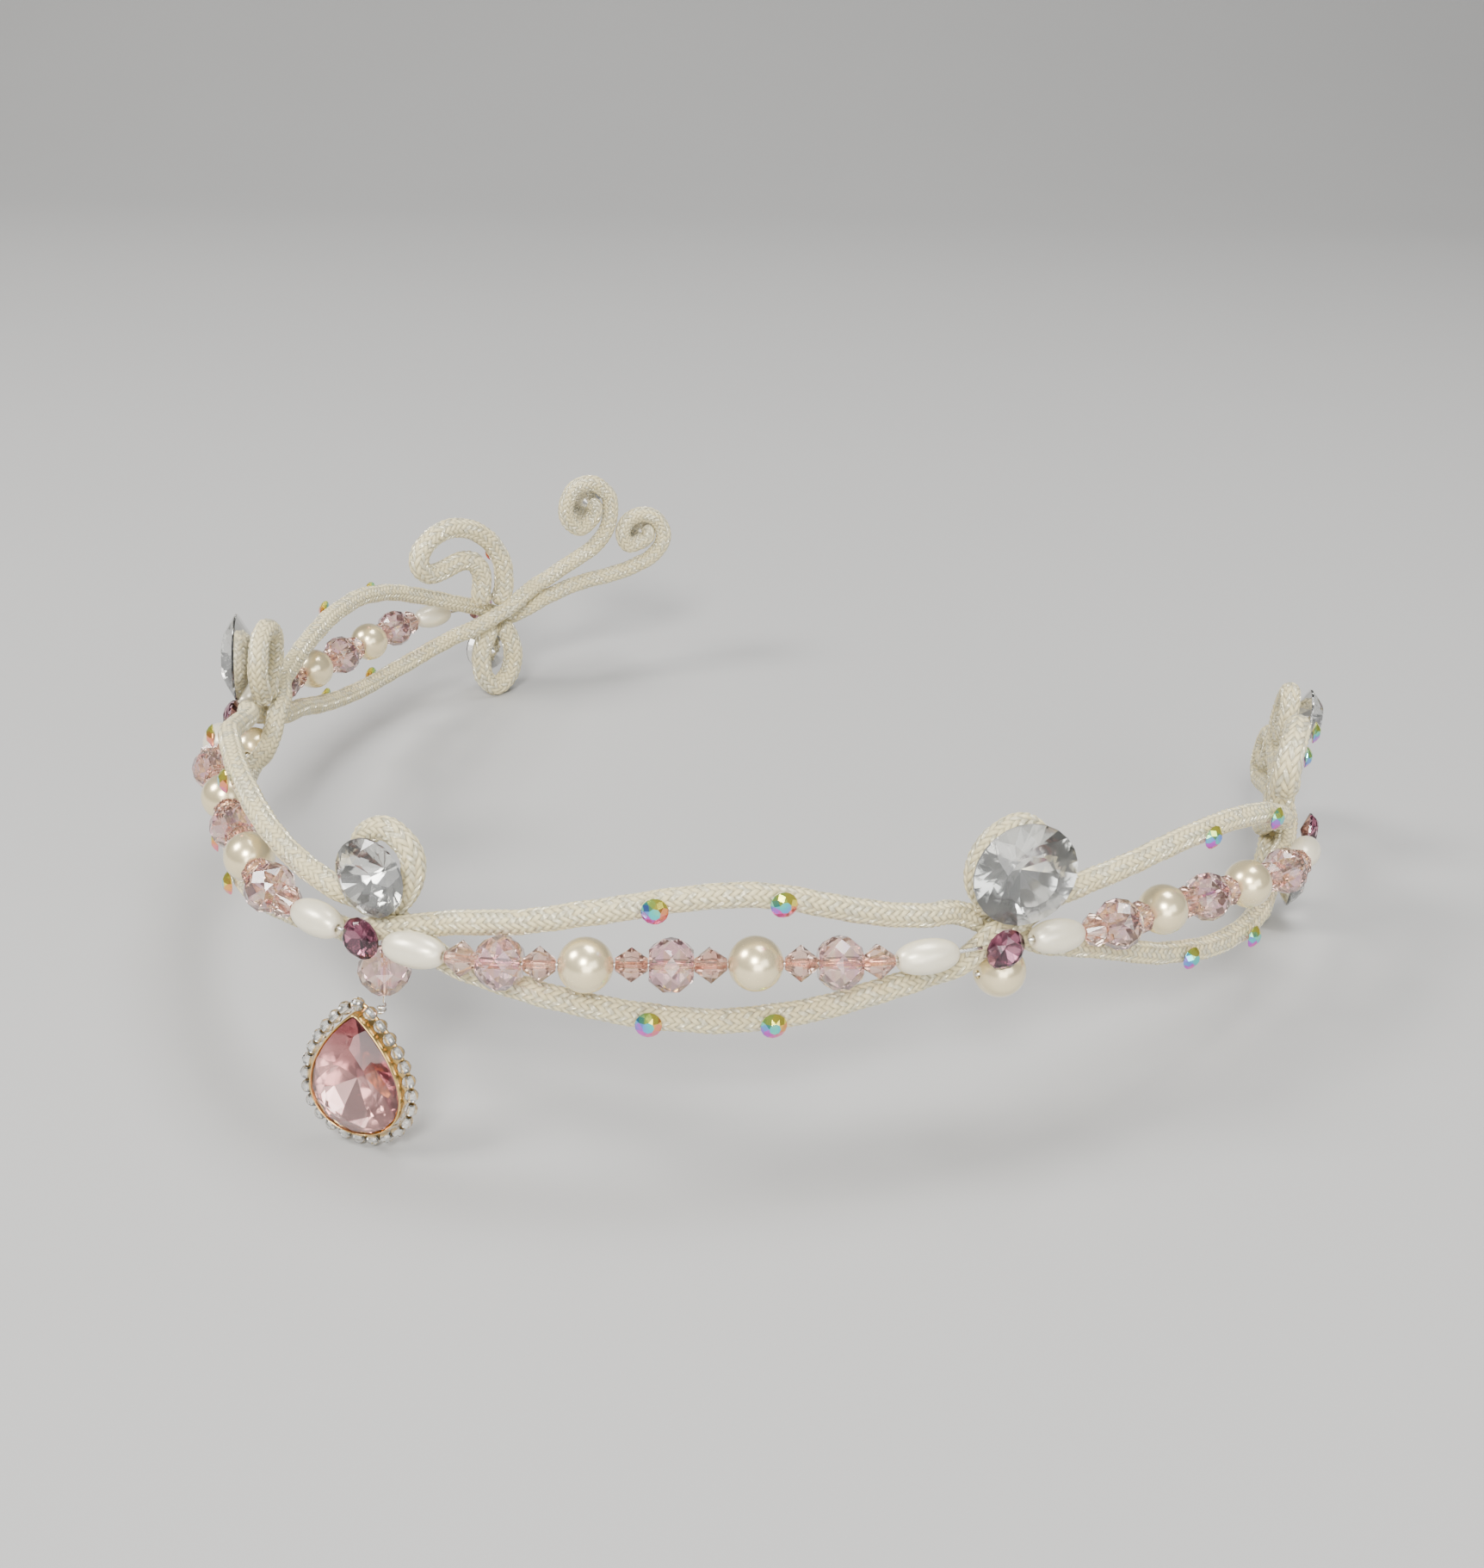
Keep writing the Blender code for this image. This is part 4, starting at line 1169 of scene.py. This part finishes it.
main_cord("main_cord_a", True, 1)
main_cord("main_cord_b", False, -1)
surface_loop("loop_front", 1, 0, FRONT_LOOP, CORD_D, SEAT)
cut_stone("clear_stone_front", 1, *FRONT_STONE_AT, SEAT + CORD_BACK, FRONT_STONE_D, "clear")
cut_stone("purple_stone_front", 1, *FRONT_PURPLE_AT, CROSS_OUT, PURPLE_D, "plum")
pendant()

for side, word in SIDE_NAMES.items():
    lean = SIDE_LEAN[side]
    surface_loop(f"loop_side_{word}", side, 1, SIDE_LOOP, CORD_D, SEAT, lean)
    cut_stone(f"clear_stone_side_{word}", side, PANEL + lean, STONE_RISE,
              SEAT + CORD_BACK + SIDE_STONE_OUT, SIDE_STONE_D, "clear", SIDE_STONE_TURN)
    away, h = SIDE_PURPLE_AT
    cut_stone(f"purple_stone_side_{word}", side, PANEL + away, h, CROSS_OUT, PURPLE_D, "plum")
    under = place(side, PANEL + side * PEARL_AWAY, -PEARL_DROP, PEARL_OUT)
    round_pearl(f"pearl_side_{word}", under, JOINT_PEARL_D,
                np.cross(outward(side, PANEL), (0.0, 0.0, 1.0)))
    reach = HOOK_REACH[side]
    hook = [(away * reach if away < 0 else away, h) for away, h in HOOK]
    surface_loop(f"hook_loop_{word}", side, 2, hook, LOOP_CORD_D, SEAT)
    surface_loop(f"low_loop_{word}", side, 2, LOW_LOOP, LOOP_CORD_D, SEAT)
    away, h = BACK_STONE_AT
    cut_stone(f"clear_stone_back_{word}", side, 2 * PANEL + away, h, LOOP_BACK, BACK_STONE_D, "clear")
    cut_stone(f"purple_stone_back_{word}", side, 2 * PANEL, 0.0, CROSS_OUT, PURPLE_D, "plum")
    for number, (away, h) in enumerate(HOOK_STONES_AT, start=1):
        s = 2 * PANEL + (away * reach if away < 0 else away)
        cut_stone(f"ab_stone_hook_{word}_{number}", side, s, h, LOOP_BACK, AB_D, "rainbow")
    for (level, (away, h)), diameter in zip(SCROLL_STONES_AT.items(), SCROLL_STONE_D):
        cut_stone(f"clear_stone_{level}_scroll_{word}", side, 2 * PANEL + away,
                  tail_height(side, h), CORD_BACK, diameter, "clear")
    for panel, panel_word in ((0, "front"), (1, "back")):
        bead_string(f"bead_string_{panel_word}_{word}", side, panel)
        for level in ("upper", "lower"):
            for number, along in enumerate(CORD_STONES_ALONG[panel], start=1):
                h = panel_height(side, panel, along / PANEL, level == "upper")
                s = panel * PANEL + along
                cut_stone(f"ab_stone_{panel_word}_{word}_{level}_{number}", side, s, h,
                          seat(s) + CORD_BACK, AB_D, "rainbow")


# The floor, the lights and the camera.


def pale_floor():
    """A pale floor that sweeps up behind, in metres."""
    flat_to, radius = 0.6, 0.7
    profile = [(-3.0, 0.0), (flat_to, 0.0)]
    profile += [(flat_to + radius * math.sin(a), radius - radius * math.cos(a))
                for a in np.linspace(0.05, 1.5, 24)]
    profile.append((1.4, 4.0))
    way = Vector((CAMERA_UP[0], CAMERA_UP[1], 0.0)).normalized()
    wide = Vector((way.y, -way.x, 0.0))
    verts, faces = [], []
    for along, z in profile:
        for across in (-4.0, 4.0):
            verts.append(tuple(way * along + wide * across + Vector((0, 0, z))))
    for i in range(len(profile) - 1):
        faces.append((2 * i, 2 * i + 1, 2 * i + 3, 2 * i + 2))
    mesh = bpy.data.meshes.new("pale_floor")
    mesh.from_pydata(verts, [], faces)
    for polygon in mesh.polygons:
        polygon.use_smooth = True
    paint = material("floor_paint", lambda board: {
        "Base Color": board.mix(board.noise(6.0, 3.0), (0.40, 0.398, 0.392), (0.43, 0.427, 0.42)),
    }, Roughness=0.7)
    mesh.materials.append(paint)
    floor = added("pale_floor", mesh)


def soft_light(name, at, size, power, colour=(1.0, 1.0, 1.0)):
    """A rectangular light of so many watts that faces the tiara."""
    light = bpy.data.lights.new(name, "AREA")
    light.shape = "RECTANGLE"
    light.size, light.size_y = size
    light.energy = power
    light.color = colour
    lamp = added(name, light)
    lamp.location = at
    lamp.rotation_mode = "QUATERNION"
    lamp.rotation_quaternion = (Vector(LIT_POINT) - Vector(at)).to_track_quat("-Z", "Y")


LIT_POINT = (0.0, 0.0, 0.02)

pale_floor()
soft_light("key_left", (-0.55, -0.45, 0.75), (0.3, 0.3), 9.5, (1.0, 0.98, 0.95))
soft_light("overhead", (0.1, 0.25, 0.95), (0.5, 0.35), 8.0)
soft_light("front", (0.3, -0.75, 0.75), (0.28, 0.28), 13.0, (1.0, 0.99, 0.96))
soft_light("white_card", (0.75, -0.95, 0.32), (0.7, 0.5), 7.0, (1.0, 0.99, 0.97))
soft_light("fill_right", (0.8, -0.35, 0.45), (0.5, 0.4), 2.5, (0.95, 0.97, 1.0))

world = bpy.data.worlds.new("studio")
bpy.context.scene.world = world
world.use_nodes = True
background = world.node_tree.nodes["Background"].inputs
background["Color"].default_value = (0.55, 0.56, 0.58, 1.0)
background["Strength"].default_value = 0.4

camera = bpy.data.cameras.new("camera")
camera.lens = CAMERA_LENS
camera.sensor_width = CAMERA_SENSOR
camera.clip_start, camera.clip_end = 0.01, 20.0
view = added("camera", camera)
right, up = Vector(CAMERA_RIGHT).normalized(), Vector(CAMERA_UP).normalized()
facing = Matrix((right, up, right.cross(up))).transposed()
view.matrix_world = Matrix.Translation(CAMERA_AT) @ facing.to_4x4()
bpy.context.scene.camera = view
